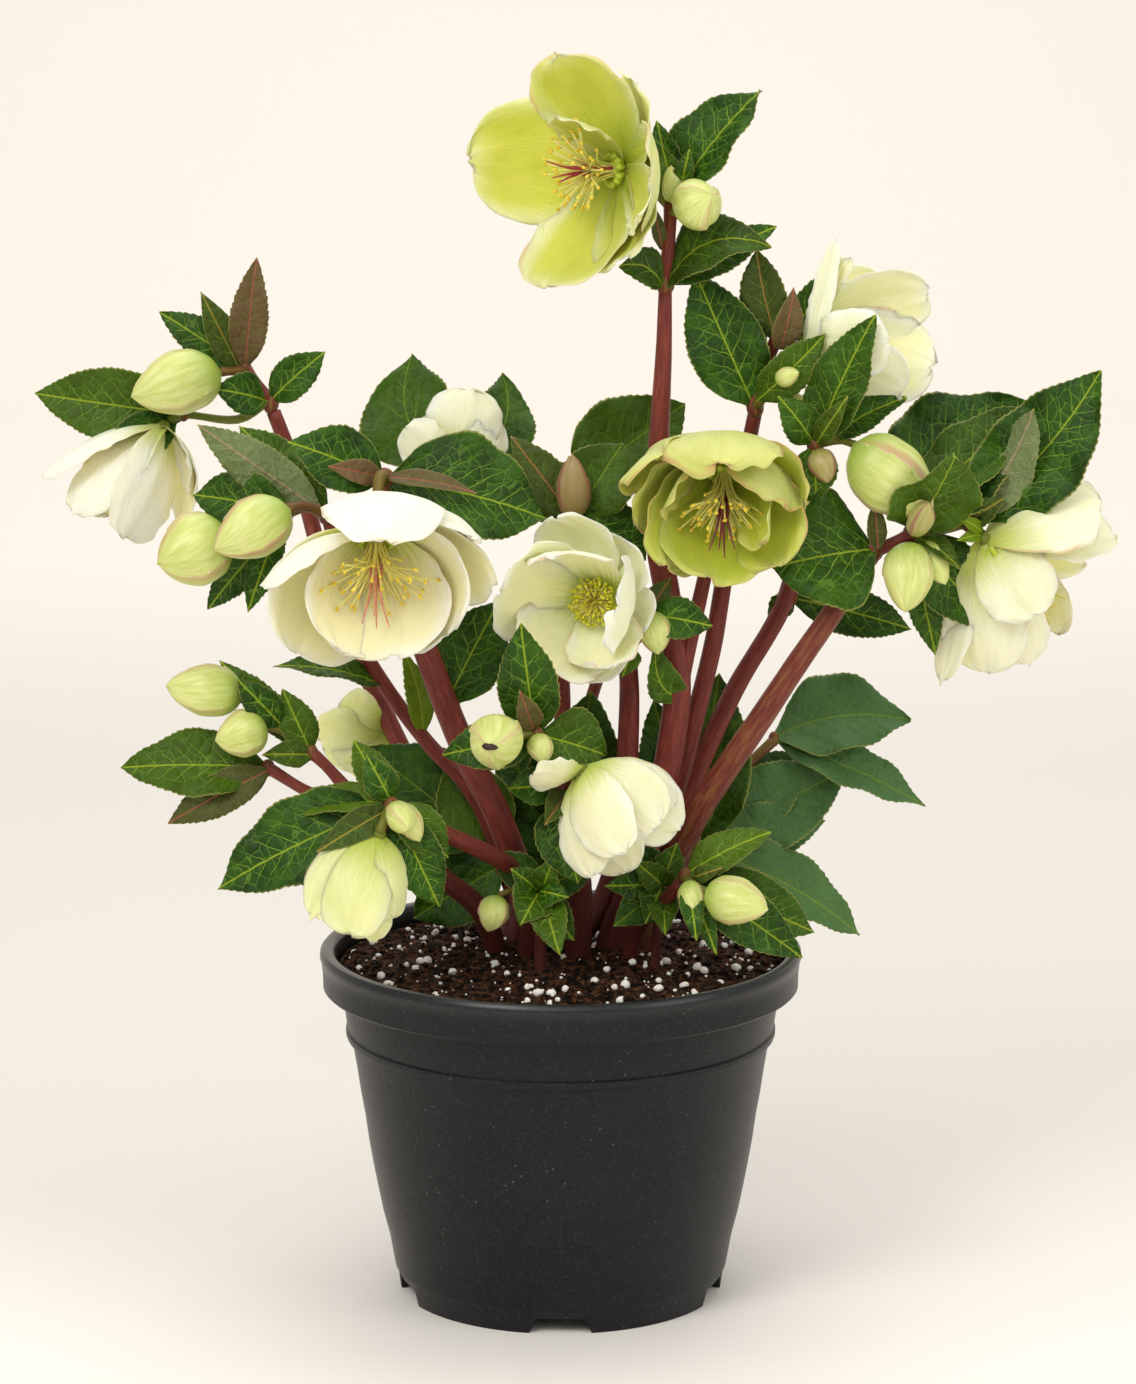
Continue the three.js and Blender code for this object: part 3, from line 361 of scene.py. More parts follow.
def smoothPath(points, step):
    # centripetal spline through the points, resampled at even steps
    points = [np.array(p, float) for p in points]
    points = [2 * points[0] - points[1]] + points + [2 * points[-1] - points[-2]]
    traced = []
    for i in range(1, len(points) - 2):
        p0, p1, p2, p3 = points[i - 1:i + 3]
        t0 = 0
        t1 = t0 + max(np.linalg.norm(p1 - p0), 1e-3) ** 0.5
        t2 = t1 + max(np.linalg.norm(p2 - p1), 1e-3) ** 0.5
        t3 = t2 + max(np.linalg.norm(p3 - p2), 1e-3) ** 0.5
        for t in np.linspace(t1, t2, 12, endpoint=i == len(points) - 3):
            a1 = p0 * (t1 - t) / (t1 - t0) + p1 * (t - t0) / (t1 - t0)
            a2 = p1 * (t2 - t) / (t2 - t1) + p2 * (t - t1) / (t2 - t1)
            a3 = p2 * (t3 - t) / (t3 - t2) + p3 * (t - t2) / (t3 - t2)
            b1 = a1 * (t2 - t) / (t2 - t0) + a2 * (t - t0) / (t2 - t0)
            b2 = a2 * (t3 - t) / (t3 - t1) + a3 * (t - t1) / (t3 - t1)
            traced.append(b1 * (t2 - t) / (t2 - t1) + b2 * (t - t1) / (t2 - t1))
    traced = np.array(traced)
    gone = np.concatenate([[0], np.cumsum(np.linalg.norm(np.diff(traced, axis=0), axis=1))])
    spots = np.linspace(0, gone[-1], max(3, int(gone[-1] / step) + 1))
    return np.stack([np.interp(spots, gone, traced[:, k]) for k in range(3)], axis=1), spots


def addTube(growth, seed, points, radii, finish, tint, sides=stemCut["sides"], step=stemCut["stepMm"]):
    path, spots = smoothPath(points, step)
    way = np.linspace(0, 1, len(path))
    radius = np.interp(way, np.linspace(0, 1, len(radii)), radii)[:, None]
    heading = unit(np.gradient(path, axis=0))
    normal = unit(np.cross(heading[0], [0.3, 0.9, 0.2]))
    firsts = []
    for h in heading:
        normal = unit(normal - h * normal.dot(h))
        firsts.append(normal)
    firsts = np.array(firsts)
    angle = np.arange(sides)[None, :] * fullTurn / sides
    far = spots[:, None]
    ribs = np.cos(angle * 5 + wobble(seed, far * 0.05) * 2)
    swell = 1 + stemCut["ridge"] * ribs + stemCut["bulge"] * wobble(seed + 1, far * 0.16)
    spokes = around(firsts[:, None], np.cross(heading, firsts)[:, None], angle)
    ring = path[:, None] + spokes * (radius * swell)[..., None]
    endCap = path[-1:, None] + heading[-1:, None] * radius[-1] * 0.3
    grid = np.concatenate([np.repeat(path[:1, None], sides, axis=1), ring,
                           np.repeat(endCap, sides, axis=1)])
    long = np.concatenate([spots[:1], spots, spots[-1:]])[:, None]
    along = np.concatenate([[0], way, [1]])[:, None]
    tone = triples(tint, luckOf(seed), along + 0 * angle)
    growth.addGrid(grid, finish, triples(long, angle, seed % 17), tone, wrap=True)


def addLump(growth, seed, centre, radii, finish, tint, rough=0.06, sides=14, rings=9):
    polar = np.linspace(0, math.pi, rings)[:, None]
    angle = np.arange(sides)[None, :] * fullTurn / sides
    ball = triples(np.sin(polar) * np.cos(angle), np.sin(polar) * np.sin(angle), np.cos(polar))
    swell = 1 + rough * wobble(seed, 3 * ball[..., 0], 3 * ball[..., 1], 3 * ball[..., 2])
    grid = np.array(centre) + ball * swell[..., None] * np.array(radii)
    mapping = triples(polar * radii[0], angle, seed % 17)
    growth.addGrid(grid, finish, mapping, (tint, luckOf(seed), 0), wrap=True, flip=True)


def stalk(radius, foot, *spots, tint=0.0, taper=0.8):
    def grow(growth, seed):
        ground = soilCut["edgeHeight"] + soilCut["mound"] - 2
        points = [(*foot, ground - stemCut["rootDepth"]), (*foot, ground)] + [place(s) for s in spots]
        radii = [radius * 1.12, radius * 1.08, radius, radius * taper]
        addTube(growth, seed, points, radii, "stemSkin", tint)
    return grow


def branch(radius, *spots, tint=0.35, taper=0.85):
    def grow(growth, seed):
        radii = [radius * 1.1, radius, radius * taper, radius * 1.02]
        addTube(growth, seed, [place(s) for s in spots], radii, "stemSkin", tint,
                sides=stemCut["branchSides"])
    return grow


def knob(at, radius, tint=0.5):
    def grow(growth, seed):
        addLump(growth, seed, place(at), (radius * 0.76, radius * 0.76, radius), "stemSkin", tint)
    return grow


# buds, closed sepals wrapped round each other
budCut = {
    "sides": 60,
    "rings": 28,
    "smallWidth": 13,         # mm, below it a bud is made with fewer facets
    "smallSides": 48,
    "smallRings": 18,
    "stations": [0, 0.1, 0.28, 0.5, 0.75, 0.92, 1],
    "halves": [0.0, 0.6, 0.93, 1.0, 0.74, 0.36, 0.0],
    "sepals": 3,
    "overlap": 0.13,          # share of the radius that a margin stands out
    "wrap": 0.22,             # how far the margins wind round the bud
    # radii of a dark lump painted as the shade in the opening at the bud's tip
    "mouth": (2.3, 2.1, 1.3),
}


def bud(base, tip, wide, flush=0.4, openness=0.0, turn=0.075, mouth=False):
    form = dict(locals())
    return lambda growth, seed: addBud(growth, seed, form)


def addBud(growth, seed, form):
    cut = budCut
    root, end = place(form["base"]), place(form["tip"])
    pointing = unit(end - root)
    toViewer = (0, -1, 0.2) if abs(pointing[1]) < 0.85 else (0.3, 0.1, 1.0)
    length, ahead, first, second = bladeFrame(root, end, toViewer)
    small = form["wide"] < cut["smallWidth"]
    sides, rings = (cut["smallSides"], cut["smallRings"]) if small else (cut["sides"], cut["rings"])
    t = np.linspace(0, 1, rings)[:, None]
    along = (1 - np.cos(t * math.pi)) / 2
    angle = np.arange(sides)[None, :] * fullTurn / sides + 0 * t
    turn = angle / fullTurn * cut["sepals"] + cut["wrap"] * along + form["turn"] * cut["sepals"]
    seam = turn % 1.0
    lap = cut["overlap"] * (seam**2.2 - 0.4) * stepUp(0.02, 0.35, along)
    lap = 1 + lap + form["openness"] * 0.25 * along**3
    radius = form["wide"] / 2 * smoothCurve(cut["stations"], cut["halves"], along) * lap
    radius = radius * (1 + 0.02 * wobble(seed, 3 * np.cos(angle), 3 * along))
    outward = (along * length + 0.035 * length * seam * along)[..., None]
    grid = root + ahead * outward + around(first, second, angle) * radius[..., None]
    tone = triples(form["flush"], luckOf(seed), along + 0 * seam)
    growth.addGrid(grid, "budSkin", triples(along, seam, angle), tone, wrap=True)
    if form["mouth"]:
        # a dark lump painted as the shade inside the bud's opening
        addLump(growth, seed, end - ahead * 0.5, cut["mouth"], "budMouthShade", 0, 0.5)


# stamens, pistils and the green nectaries round them
stamenCut = {
    "filaments": 54,
    "filamentRadius": 0.32,
    "goldenAngle": 2.39996,   # radians between one filament and the next
    "antherLong": 2.1,
    "antherWide": 0.75,
    "pistils": 4,
    "pistilRadii": [1.2, 0.95, 0.5, 0.22],
    "nectaries": 12,
    "nectaryRadii": [0.7, 1.15, 1.3],
    "heart": (3.0, 3.0, 3.0),
}


def stamenFan(root, axis, long, spread, pistil, count=stamenCut["filaments"], droop=0.0, seat=0.0,
              style="pistil", anther="anther"):
    form = dict(locals())
    return lambda growth, seed: addStamens(growth, seed, form)


def addStamens(growth, seed, form):
    cut, count = stamenCut, form["count"]
    draw = np.random.default_rng(seed)
    ahead = unit(np.array(form["axis"], float))
    down = np.array([0, 0, -form["droop"]])
    centre = place(form["root"]) + ahead * form["seat"]
    first = unit(np.cross(ahead, [0.1, 0.3, 0.95]))
    second = np.cross(ahead, first)
    addLump(growth, seed, centre + ahead * 1.5, cut["heart"], "nectary", 0.5)
    for i in range(cut["nectaries"]):
        out = around(first, second, i * fullTurn / cut["nectaries"] + draw.uniform(-0.1, 0.1))
        path = [centre + out * 1.5, centre + out * 4.0 + ahead * 1.2, centre + out * 5.6 + ahead * 3.8]
        addTube(growth, seed + i, path, cut["nectaryRadii"], "nectary", 0.2, sides=8, step=0.9)
    for i in range(count):
        lean = form["spread"] * (0.25 + 0.75 * math.sqrt((i + 0.5) / count)) * draw.uniform(0.9, 1.1)
        out = around(first, second, i * cut["goldenAngle"])
        heading = ahead * math.cos(lean) + out * math.sin(lean)
        reach = form["long"] * draw.uniform(0.72, 1.04)
        end = centre + heading * reach + down * draw.uniform(0.6, 1.2)
        bow = draw.uniform(0.1, 0.4)
        middle = centre + ahead * reach * 0.5 + out * math.sin(lean) * reach * bow
        r = cut["filamentRadius"]
        addTube(growth, seed + i, [centre + out * 1.4, middle, end], [r * 1.3, r, r], "filament", 0.5,
                sides=5, step=2.6)
        tilt = unit(heading + 0.35 * draw.normal(size=3))
        half = tilt * cut["antherLong"] / 2 * draw.uniform(0.8, 1.15)
        wide = cut["antherWide"]
        addTube(growth, seed + i, [end - half, end, end + half], [0.35 * wide, wide, 0.35 * wide],
                form["anther"], draw.uniform(0, 1), sides=6, step=0.7)
    for i in range(cut["pistils"]):
        out = around(first, second, i * fullTurn / cut["pistils"] + 0.4)
        reach = form["pistil"] * draw.uniform(0.85, 1.02)
        path = [centre + out * 0.8, centre + ahead * reach * 0.4 + out * 1.6,
                centre + ahead * reach * 0.75 + out * 1.7,
                centre + (ahead + out * 0.16) * reach + down * 1.1]
        addTube(growth, seed + i, path, cut["pistilRadii"], form["style"], 0.5, sides=8, step=1.4)


# surface of the soil in mm, from which the stalks rise
soilCut = {"edgeHeight": 118.0, "mound": 6.0, "moundSpread": 38.0}
print("makers ready")


# finishes: one material each, with short ways to add its nodes
finishes = {}


class Finish:
    def __init__(self, name):
        finishes[name] = bpy.data.materials.new(name)
        finishes[name].use_nodes = True
        self.tree = finishes[name].node_tree
        self.tree.nodes.clear()
        self.skin = self.add("BsdfPrincipled")
        self.tree.links.new(self.skin.outputs["BSDF"], self.add("OutputMaterial").inputs["Surface"])
        self.here = self.add("TexCoord").outputs["Object"]

    def add(self, kind, **settings):
        node = self.tree.nodes.new("ShaderNode" + kind)
        for setting, value in settings.items():
            setattr(node, setting, value)
        return node

    def put(self, sockets, values):
        # links for node outputs, plain values for the rest
        for socket, value in zip(sockets, values):
            if isinstance(value, bpy.types.NodeSocket):
                self.tree.links.new(value, socket)
            elif isinstance(value, tuple) and socket.type == "RGBA":
                socket.default_value = (*value, 1)
            else:
                socket.default_value = value

    def wear(self, values):
        # settings of the Principled shader by their names
        self.put([self.skin.inputs[name] for name in values], values.values())

    def maths(self, operation, *values):
        node = self.add("Math", operation=operation)
        self.put(node.inputs, values)
        return node.outputs[0]

    def times(self, first, *others):
        for other in others:
            first = self.maths("MULTIPLY", first, other)
        return first

    def plus(self, first, second):
        return self.maths("ADD", first, second)

    def minus(self, first, second):
        return self.maths("SUBTRACT", first, second)

    def size(self, value):
        return self.maths("ABSOLUTE", value)

    def ramp(self, value, low, high, toLow=0.0, toHigh=1.0):
        node = self.add("MapRange", interpolation_type="SMOOTHSTEP")
        self.put(node.inputs, (value, low, high, toLow, toHigh))
        return node.outputs[0]

    def blend(self, factor, first, second):
        node = self.add("Mix", data_type="RGBA")
        self.put([node.inputs[0], node.inputs[6], node.inputs[7]], (factor, first, second))
        return node.outputs[2]

    def split(self, vector):
        node = self.add("SeparateXYZ")
        self.tree.links.new(vector, node.inputs[0])
        return node.outputs[0], node.outputs[1], node.outputs[2]

    def gather(self, x, y, z):
        node = self.add("CombineXYZ")
        self.put(node.inputs, (x, y, z))
        return node.outputs[0]

    def attribute(self, name):
        return self.split(self.add("Attribute", attribute_name=name).outputs["Vector"])

    def noise(self, spot, scale, detail=3.0, roughness=0.55, distortion=0.0):
        node = self.add("TexNoise")
        names = ("Vector", "Scale", "Detail", "Roughness", "Distortion")
        self.put([node.inputs[name] for name in names], (spot, scale, detail, roughness, distortion))
        return node.outputs[0]

    def cells(self, spot, scale, feature="F1"):
        node = self.add("TexVoronoi", feature=feature)
        self.put([node.inputs["Vector"], node.inputs["Scale"]], (spot, scale))
        return node.outputs["Distance"]

    def bump(self, height, distance, strength, under=None):
        node = self.add("Bump")
        names = ("Height", "Distance", "Strength")
        self.put([node.inputs[name] for name in names], (height, distance, strength))
        if under is not None:
            self.tree.links.new(under, node.inputs["Normal"])
        return node.outputs[0]


leafFinish = {
    "deep": (0.007, 0.029, 0.0014),
    "mid": (0.030, 0.092, 0.003),
    "warm": (0.078, 0.132, 0.003),
    # painted sheen that lightens the far back leaves
    "hazySheen": (0.080, 0.175, 0.060),
    "midrib": (0.27, 0.36, 0.02),
    "redRib": (0.30, 0.10, 0.05),
    "sideVein": (0.20, 0.33, 0.030),
    "netVein": (0.105, 0.215, 0.020),
    "young": (0.13, 0.21, 0.004),
    "olive": (0.050, 0.066, 0.010),
    "brown": (0.17, 0.085, 0.045),
    "rim": (0.30, 0.30, 0.07),
    "netSize": 5.0,           # mm across a mesh of the vein net
    "netDrift": 3.0,          # mm that the net strays
    "patchScale": 0.09,
    "rough": 0.36,
    "specular": 0.17,
    "underBase": (0.12, 0.165, 0.055),
    "underOther": (0.17, 0.22, 0.085),
    "underVein": (0.32, 0.33, 0.18),
    "underRib": (0.34, 0.26, 0.15),
    "underRough": 0.52,
    "veinDepth": 0.00045,     # metres
    "grainDepth": 0.00022,
}


def makeLeafFinish(name, isUnder):
    look, f = leafFinish, Finish(name)
    along, across, phase = f.attribute("leafMap")
    age, chance, edge = f.attribute("leafTone")
    # vein net, side veins and midrib
    spread = f.size(across)
    offset = f.times(chance, 370.0)
    spot = f.gather(along, across, offset)
    drift = f.noise(spot, 0.22, 2.0)
    driftTwo = f.noise(f.gather(across, along, offset), 0.22, 2.0)
    netSpot = f.gather(f.plus(along, f.times(drift, look["netDrift"])),
                       f.plus(across, f.times(driftTwo, look["netDrift"])), offset)
    net = f.cells(netSpot, 1 / look["netSize"], "DISTANCE_TO_EDGE")
    netLine = f.ramp(net, 0.012, 0.040, 1.0, 0.0)
    fineNet = f.ramp(f.cells(netSpot, 3.0 / look["netSize"], "DISTANCE_TO_EDGE"), 0.02, 0.10, 1.0, 0.0)
    run = f.maths("FRACT", f.plus(phase, f.times(f.minus(drift, 0.5), 0.5)))
    toVein = f.minus(0.5, f.size(f.minus(run, 0.5)))
    sideWidth = f.ramp(edge, 0.0, 1.0, 0.060, 0.020)
    sideLine = f.ramp(f.maths("DIVIDE", toVein, sideWidth), 0.3, 0.9, 1.0, 0.0)
    midLine = f.ramp(spread, 0.12, 0.52, 1.0, 0.0)
    crisp = f.minus(1.0, f.times(f.ramp(chance, 1.2, 1.8), 0.6))
    # the blade between them
    patch = f.noise(spot, look["patchScale"], 4.0, 0.6)
    if isUnder:
        ground = f.blend(patch, look["underBase"], look["underOther"])
    else:
        ground = f.blend(f.ramp(patch, 0.3, 0.72), look["deep"], look["mid"])
        ground = f.blend(f.times(f.ramp(spread, 0.0, 6.0, 1.0, 0.0), 0.35), ground, look["mid"])
        luck = f.maths("FRACT", f.times(chance, 7.0))
        ground = f.blend(f.ramp(luck, 0.45, 1.0, 0.0, 0.55), ground, look["warm"])
        # painted sheen on leaves with haze 2
        ground = f.blend(f.ramp(chance, 3.2, 3.8, 0.0, 0.7), ground, look["hazySheen"])
    aged = f.blend(f.ramp(age, 0.6, 1.0), look["olive"], look["brown"])
    ground = f.blend(f.ramp(age, 0.05, 0.6), ground, aged)
    colour = f.blend(f.ramp(age, 0.0, -0.7), ground, look["young"])
    fade = f.ramp(edge, 0.35, 1.0, 1.0, 0.35)
    if isUnder:
        colour = f.blend(f.times(fineNet, 0.35), colour, look["underVein"])
        colour = f.blend(f.times(sideLine, 0.6), colour, look["underVein"])
        colour = f.blend(midLine, colour, look["underRib"])
    else:
        fresh = f.times(f.ramp(age, 0.1, 0.6, 1.0, 0.35), crisp)
        colour = f.blend(f.times(fineNet, 0.10), colour, look["netVein"])
        colour = f.blend(f.times(netLine, f.times(fade, 0.62, fresh)), colour, look["netVein"])
        colour = f.blend(f.times(sideLine, f.times(fade, 0.9, fresh)), colour, look["sideVein"])
        rib = f.blend(f.ramp(age, 0.2, 0.6), look["midrib"], look["redRib"])
        colour = f.blend(f.times(midLine, f.times(crisp, 0.92)), colour, rib)
    colour = f.blend(f.times(f.ramp(edge, 0.955, 0.99), 0.7), colour, look["rim"])
    ribs = f.maths("MAXIMUM", midLine, f.times(sideLine, fade))
    puff = f.minus(f.ramp(net, 0.0, 0.30), f.times(ribs, 0.8))
    soft = f.bump(f.times(puff, -1.0 if isUnder else 1.0), look["veinDepth"], 0.6)
    gloss = f.times(f.noise(spot, 0.35, 3.0), 0.2)
    f.wear({"Base Color": colour, "Specular IOR Level": look["specular"],
            "Roughness": f.plus(look["underRough" if isUnder else "rough"], gloss),
            "Normal": f.bump(f.noise(spot, 2.6, 3.0), look["grainDepth"], 0.55, soft)})


def sepalLook(heart, body, margin, outerBody, line, greenReach, speckle, cloud, stain=(0.62, 0.40, 0.22)):
    return dict(locals())


sepalFinish = {
    "white": sepalLook((0.46, 0.54, 0.07), (0.95, 0.875, 0.52), (0.95, 0.93, 0.73), (0.93, 0.915, 0.75),
                       (0.70, 0.67, 0.32), greenReach=0.42, speckle=0.2, cloud=0.16),
    "clear": sepalLook((0.36, 0.48, 0.02), (0.96, 0.94, 0.60), (0.96, 0.95, 0.78), (0.93, 0.94, 0.66),
                       (0.74, 0.76, 0.34), greenReach=0.46, speckle=0.1, cloud=0.22),
    "butter": sepalLook((0.42, 0.52, 0.03), (0.88, 0.87, 0.42), (0.93, 0.91, 0.66), (0.925, 0.885, 0.58),
                        (0.64, 0.65, 0.24), greenReach=0.50, speckle=0.2, cloud=0.26),
    "cream": sepalLook((0.46, 0.53, 0.05), (0.90, 0.87, 0.48), (0.93, 0.91, 0.69), (0.91, 0.89, 0.62),
                       (0.64, 0.66, 0.27), greenReach=0.62, speckle=0.2, cloud=0.30),
    "pale": sepalLook((0.38, 0.46, 0.03), (0.80, 0.81, 0.34), (0.88, 0.88, 0.50), (0.82, 0.835, 0.40),
                      (0.54, 0.60, 0.14), greenReach=0.60, speckle=0.4, cloud=0.45, stain=(0.64, 0.36,
                                                                                           0.22)),
    "lime": sepalLook((0.27, 0.34, 0.008), (0.62, 0.635, 0.105), (0.84, 0.85, 0.50), (0.74, 0.77, 0.28),
                      (0.44, 0.50, 0.03), greenReach=0.50, speckle=0.5, cloud=0.60, stain=(0.66, 0.36,
                                                                                           0.20)),
    "green": sepalLook((0.10, 0.14, 0.008), (0.48, 0.53, 0.045), (0.66, 0.67, 0.19), (0.66, 0.68, 0.23),
                       (0.30, 0.37, 0.015), greenReach=0.5, speckle=0.9, cloud=0.5, stain=(0.58, 0.26,
                                                                                           0.13)),
}
sepalSkin = {
    "speckle": (0.10, 0.03, 0.02),
    "rayDepth": 0.00045,      # metres
    "grainDepth": 0.00008,
    "wear": {"Roughness": 0.52, "Specular IOR Level": 0.25, "Sheen Weight": 0.12, "Subsurface Weight": 0.45,
             "Subsurface Radius": (1.0, 0.9, 0.45), "Subsurface Scale": 0.0016},
}


def makeSepalFinish(kind, isOuter):
    look, f = sepalFinish[kind], Finish(kind + ("Outer" if isOuter else "Inner"))
    along, across, chance = f.attribute("leafMap")
    flush, _, edge = f.attribute("leafTone")
    # fine rays that fan out from the root
    fan = f.times(across, f.plus(7.0, f.times(along, 10.0)))
    lineSpot = f.gather(fan, f.times(along, 1.6), chance)
    ray = f.noise(lineSpot, 1.9, 3.0, 0.6, 0.3)
    rayLine = f.ramp(f.size(f.minus(ray, 0.5)), 0.0, 0.035, 1.0, 0.0)
    cloud = f.noise(f.gather(f.times(across, 1.3), f.times(along, 1.6), chance), 1.2)
    # body, lime heart, darker middle and rays
    colour = f.blend(f.ramp(edge, 0.62, 1.0), look["outerBody" if isOuter else "body"], look["margin"])
    colour = f.blend(f.times(f.ramp(cloud, 0.35, 0.75), look["cloud"]), colour, look["line"])
    reach = f.plus(along, f.times(f.minus(ray, 0.5), 0.35))
    colour = f.blend(f.ramp(reach, 0.04, look["greenReach"], 0.95, 0.0), colour, look["heart"])
    middle = f.times(f.ramp(f.size(across), 0.0, 0.45, 1.0, 0.0), f.ramp(along, 0.3, 0.95, 0.30, 0.0))
    colour = f.blend(middle, colour, look["line"])
    colour = f.blend(f.times(rayLine, f.ramp(along, 0.3, 1.0, 0.5, 0.12)), colour, look["line"])
    # dark speckles near the heart and a blush on the margin
    fleckSpot = f.gather(f.times(across, 9.0), f.times(along, 12.0), chance)
    fleck = f.ramp(f.cells(fleckSpot, 1.6), 0.10, 0.2, 1.0, 0.0)
    inHeart = f.times(f.ramp(along, 0.12, 0.25), f.ramp(along, 0.35, 0.7, 1.0, 0.0))
    some = f.ramp(f.noise(lineSpot, 0.5), 0.48, 0.6)
    speckled = f.times(f.times(fleck, inHeart), f.times(some, look["speckle"]))
    colour = f.blend(speckled, colour, sepalSkin["speckle"])
    stained = f.times(f.ramp(edge, 0.90, 0.99), f.ramp(f.noise(lineSpot, 0.35, 2.0), 0.42, 0.58))
    colour = f.blend(f.times(stained, f.times(flush, 0.85)), colour, look["stain"])
    grain = f.bump(ray, sepalSkin["rayDepth"], 0.55)
    grain = f.bump(f.noise(lineSpot, 9.0, 2.0), sepalSkin["grainDepth"], 0.5, grain)
    f.wear({"Base Color": colour, "Normal": grain})
    f.wear(sepalSkin["wear"])


budFinish = {
    "pale": (0.52, 0.57, 0.13),
    "cream": (0.73, 0.75, 0.32),
    "green": (0.28, 0.41, 0.03),
    "fleck": (0.28, 0.34, 0.08),
    "edge": (0.52, 0.26, 0.17),
    "brown": (0.22, 0.085, 0.040),
    "rim": (0.88, 0.84, 0.60),
    "wear": {"Roughness": 0.42, "Subsurface Weight": 0.25, "Subsurface Radius": (1.0, 0.9, 0.4),
             "Subsurface Scale": 0.002},
}


def makeBudFinish():
    look, f = budFinish, Finish("budSkin")
    along, seam = f.attribute("leafMap")[:2]
    flush, chance = f.attribute("leafTone")[:2]
    streakSpot = f.gather(f.times(seam, 5.0), f.times(along, 1.5), f.times(chance, 31.0))
    streak = f.noise(streakSpot, 2.2)
    colour = f.blend(f.ramp(streak, 0.2, 0.85), look["pale"], look["cream"])
    colour = f.blend(f.ramp(along, 0.0, 0.55, 0.9, 0.0), colour, look["green"])
    nearSeam = f.times(f.ramp(seam, 0.78, 0.90), f.ramp(along, 0.05, 0.4, 0.3, 1.0))
    colour = f.blend(f.times(nearSeam, flush, 0.8), colour, look["edge"])
    colour = f.blend(f.times(f.ramp(seam, 0.965, 0.985), 0.8), colour, look["rim"])
    colour = f.blend(f.ramp(seam, 0.0, 0.04, 0.45, 0.0), colour, look["green"])
    fleck = f.ramp(f.cells(streakSpot, 1.9), 0.08, 0.2, 1.0, 0.0)
    colour = f.blend(f.times(fleck, 0.22), colour, look["fleck"])
    colour = f.blend(f.ramp(flush, 1.0, 2.0, 0.0, 0.9), colour, look["brown"])
    f.wear({"Base Color": colour, "Normal": f.bump(streak, 0.0003, 0.3)})
    f.wear(look["wear"])


stemFinish = {
    "red": (0.26, 0.046, 0.029),
    "dark": (0.105, 0.018, 0.013),
    # painted shade on the stalks just above the soil, where the crown lies in shadow
    "foot": (0.055, 0.014, 0.010),
    "footShadeHeights": (0.125, 0.185),   # metres, between which the painted shade at the foot fades out
    "green": (0.15, 0.19, 0.02),
    "pale": (0.40, 0.17, 0.12),
    "fleck": (0.46, 0.24, 0.18),
    "fleckScale": 1150.0,
    "wear": {"Roughness": 0.42, "Specular IOR Level": 0.25},
}


def makeStemFinish():
    look, f = stemFinish, Finish("stemSkin")
    long, angle = f.attribute("leafMap")[:2]
    tint = f.attribute("leafTone")[0]
    ringSpot = f.gather(f.times(f.maths("COSINE", angle), 2.6), f.times(f.maths("SINE", angle), 2.6),
                        f.times(long, 0.08))
    streak = f.noise(ringSpot, 1.3, 4.0, 0.6)
    colour = f.blend(f.ramp(streak, 0.2, 0.85), look["dark"], look["red"])
    colour = f.blend(f.times(f.ramp(streak, 0.58, 0.85), 0.25), colour, look["pale"])
    fleck = f.ramp(f.cells(f.here, look["fleckScale"]), 0.10, 0.30, 1.0, 0.0)
    colour = f.blend(f.times(fleck, 0.13), colour, look["fleck"])
    # painted shade: the stalks darken toward the soil
    colour = f.blend(f.ramp(f.split(f.here)[2], *look["footShadeHeights"], 0.72, 0.0), colour, look["foot"])
    greening = f.ramp(f.plus(tint, f.times(f.minus(streak, 0.5), 0.8)), 0.35, 1.0)
    f.wear({"Base Color": f.blend(greening, colour, look["green"]),
            "Normal": f.bump(f.plus(streak, f.times(fleck, 0.3)), 0.0005, 0.5)})
    f.wear(look["wear"])


# first and second colour, roughness, glow
smallFinish = {
    "filament": [(0.70, 0.64, 0.13), (0.80, 0.74, 0.26), 0.5, 0.2],
    "anther": [(0.66, 0.46, 0.02), (0.86, 0.70, 0.08), 0.75, 0.0],
    "greenAnther": [(0.52, 0.52, 0.01), (0.78, 0.74, 0.05), 0.6, 0.0],
    "pistil": [(0.30, 0.012, 0.045), (0.42, 0.06, 0.06), 0.4, 0.1],
    "blushStyle": [(0.46, 0.12, 0.08), (0.60, 0.30, 0.16), 0.4, 0.1],
    "paleStyle": [(0.55, 0.46, 0.04), (0.70, 0.60, 0.10), 0.4, 0.1],
    "maroonStyle": [(0.11, 0.008, 0.018), (0.20, 0.02, 0.03), 0.4, 0.1],
    # dark colour painted as the shade inside a bud's opening
    "budMouthShade": [(0.030, 0.010, 0.004), (0.060, 0.022, 0.008), 0.6, 0.0],
    "nectary": [(0.42, 0.52, 0.03), (0.60, 0.66, 0.10), 0.4, 0.2],
}


def makeSmallFinish(name, first, second, rough, glow):
    f = Finish(name)
    tint = f.attribute("leafTone")[0]
    mottle = f.noise(f.here, 900.0, 2.0)
    mix = f.ramp(f.plus(mottle, f.times(f.minus(tint, 0.5), 0.4)), 0.3, 0.7)
    f.wear({"Base Color": f.blend(mix, first, second), "Roughness": rough, "Subsurface Weight": glow,
            "Subsurface Scale": 0.001, "Normal": f.bump(mottle, 0.0002, 0.6)})


potFinish = {
    "base": (0.0038, 0.0040, 0.0045),
    "light": (0.0076, 0.0080, 0.0088),
    "grain": (0.020, 0.0205, 0.022),
    "speck": (0.16, 0.16, 0.15),
    "speckScale": 260.0,
    "rough": 0.30,
    "specular": 0.23,
    "lipHeights": (0.117, 0.123),    # metres, between which the lip's sheen comes in
    "lipSheen": 0.4,
    "scratch": 0.08,
}


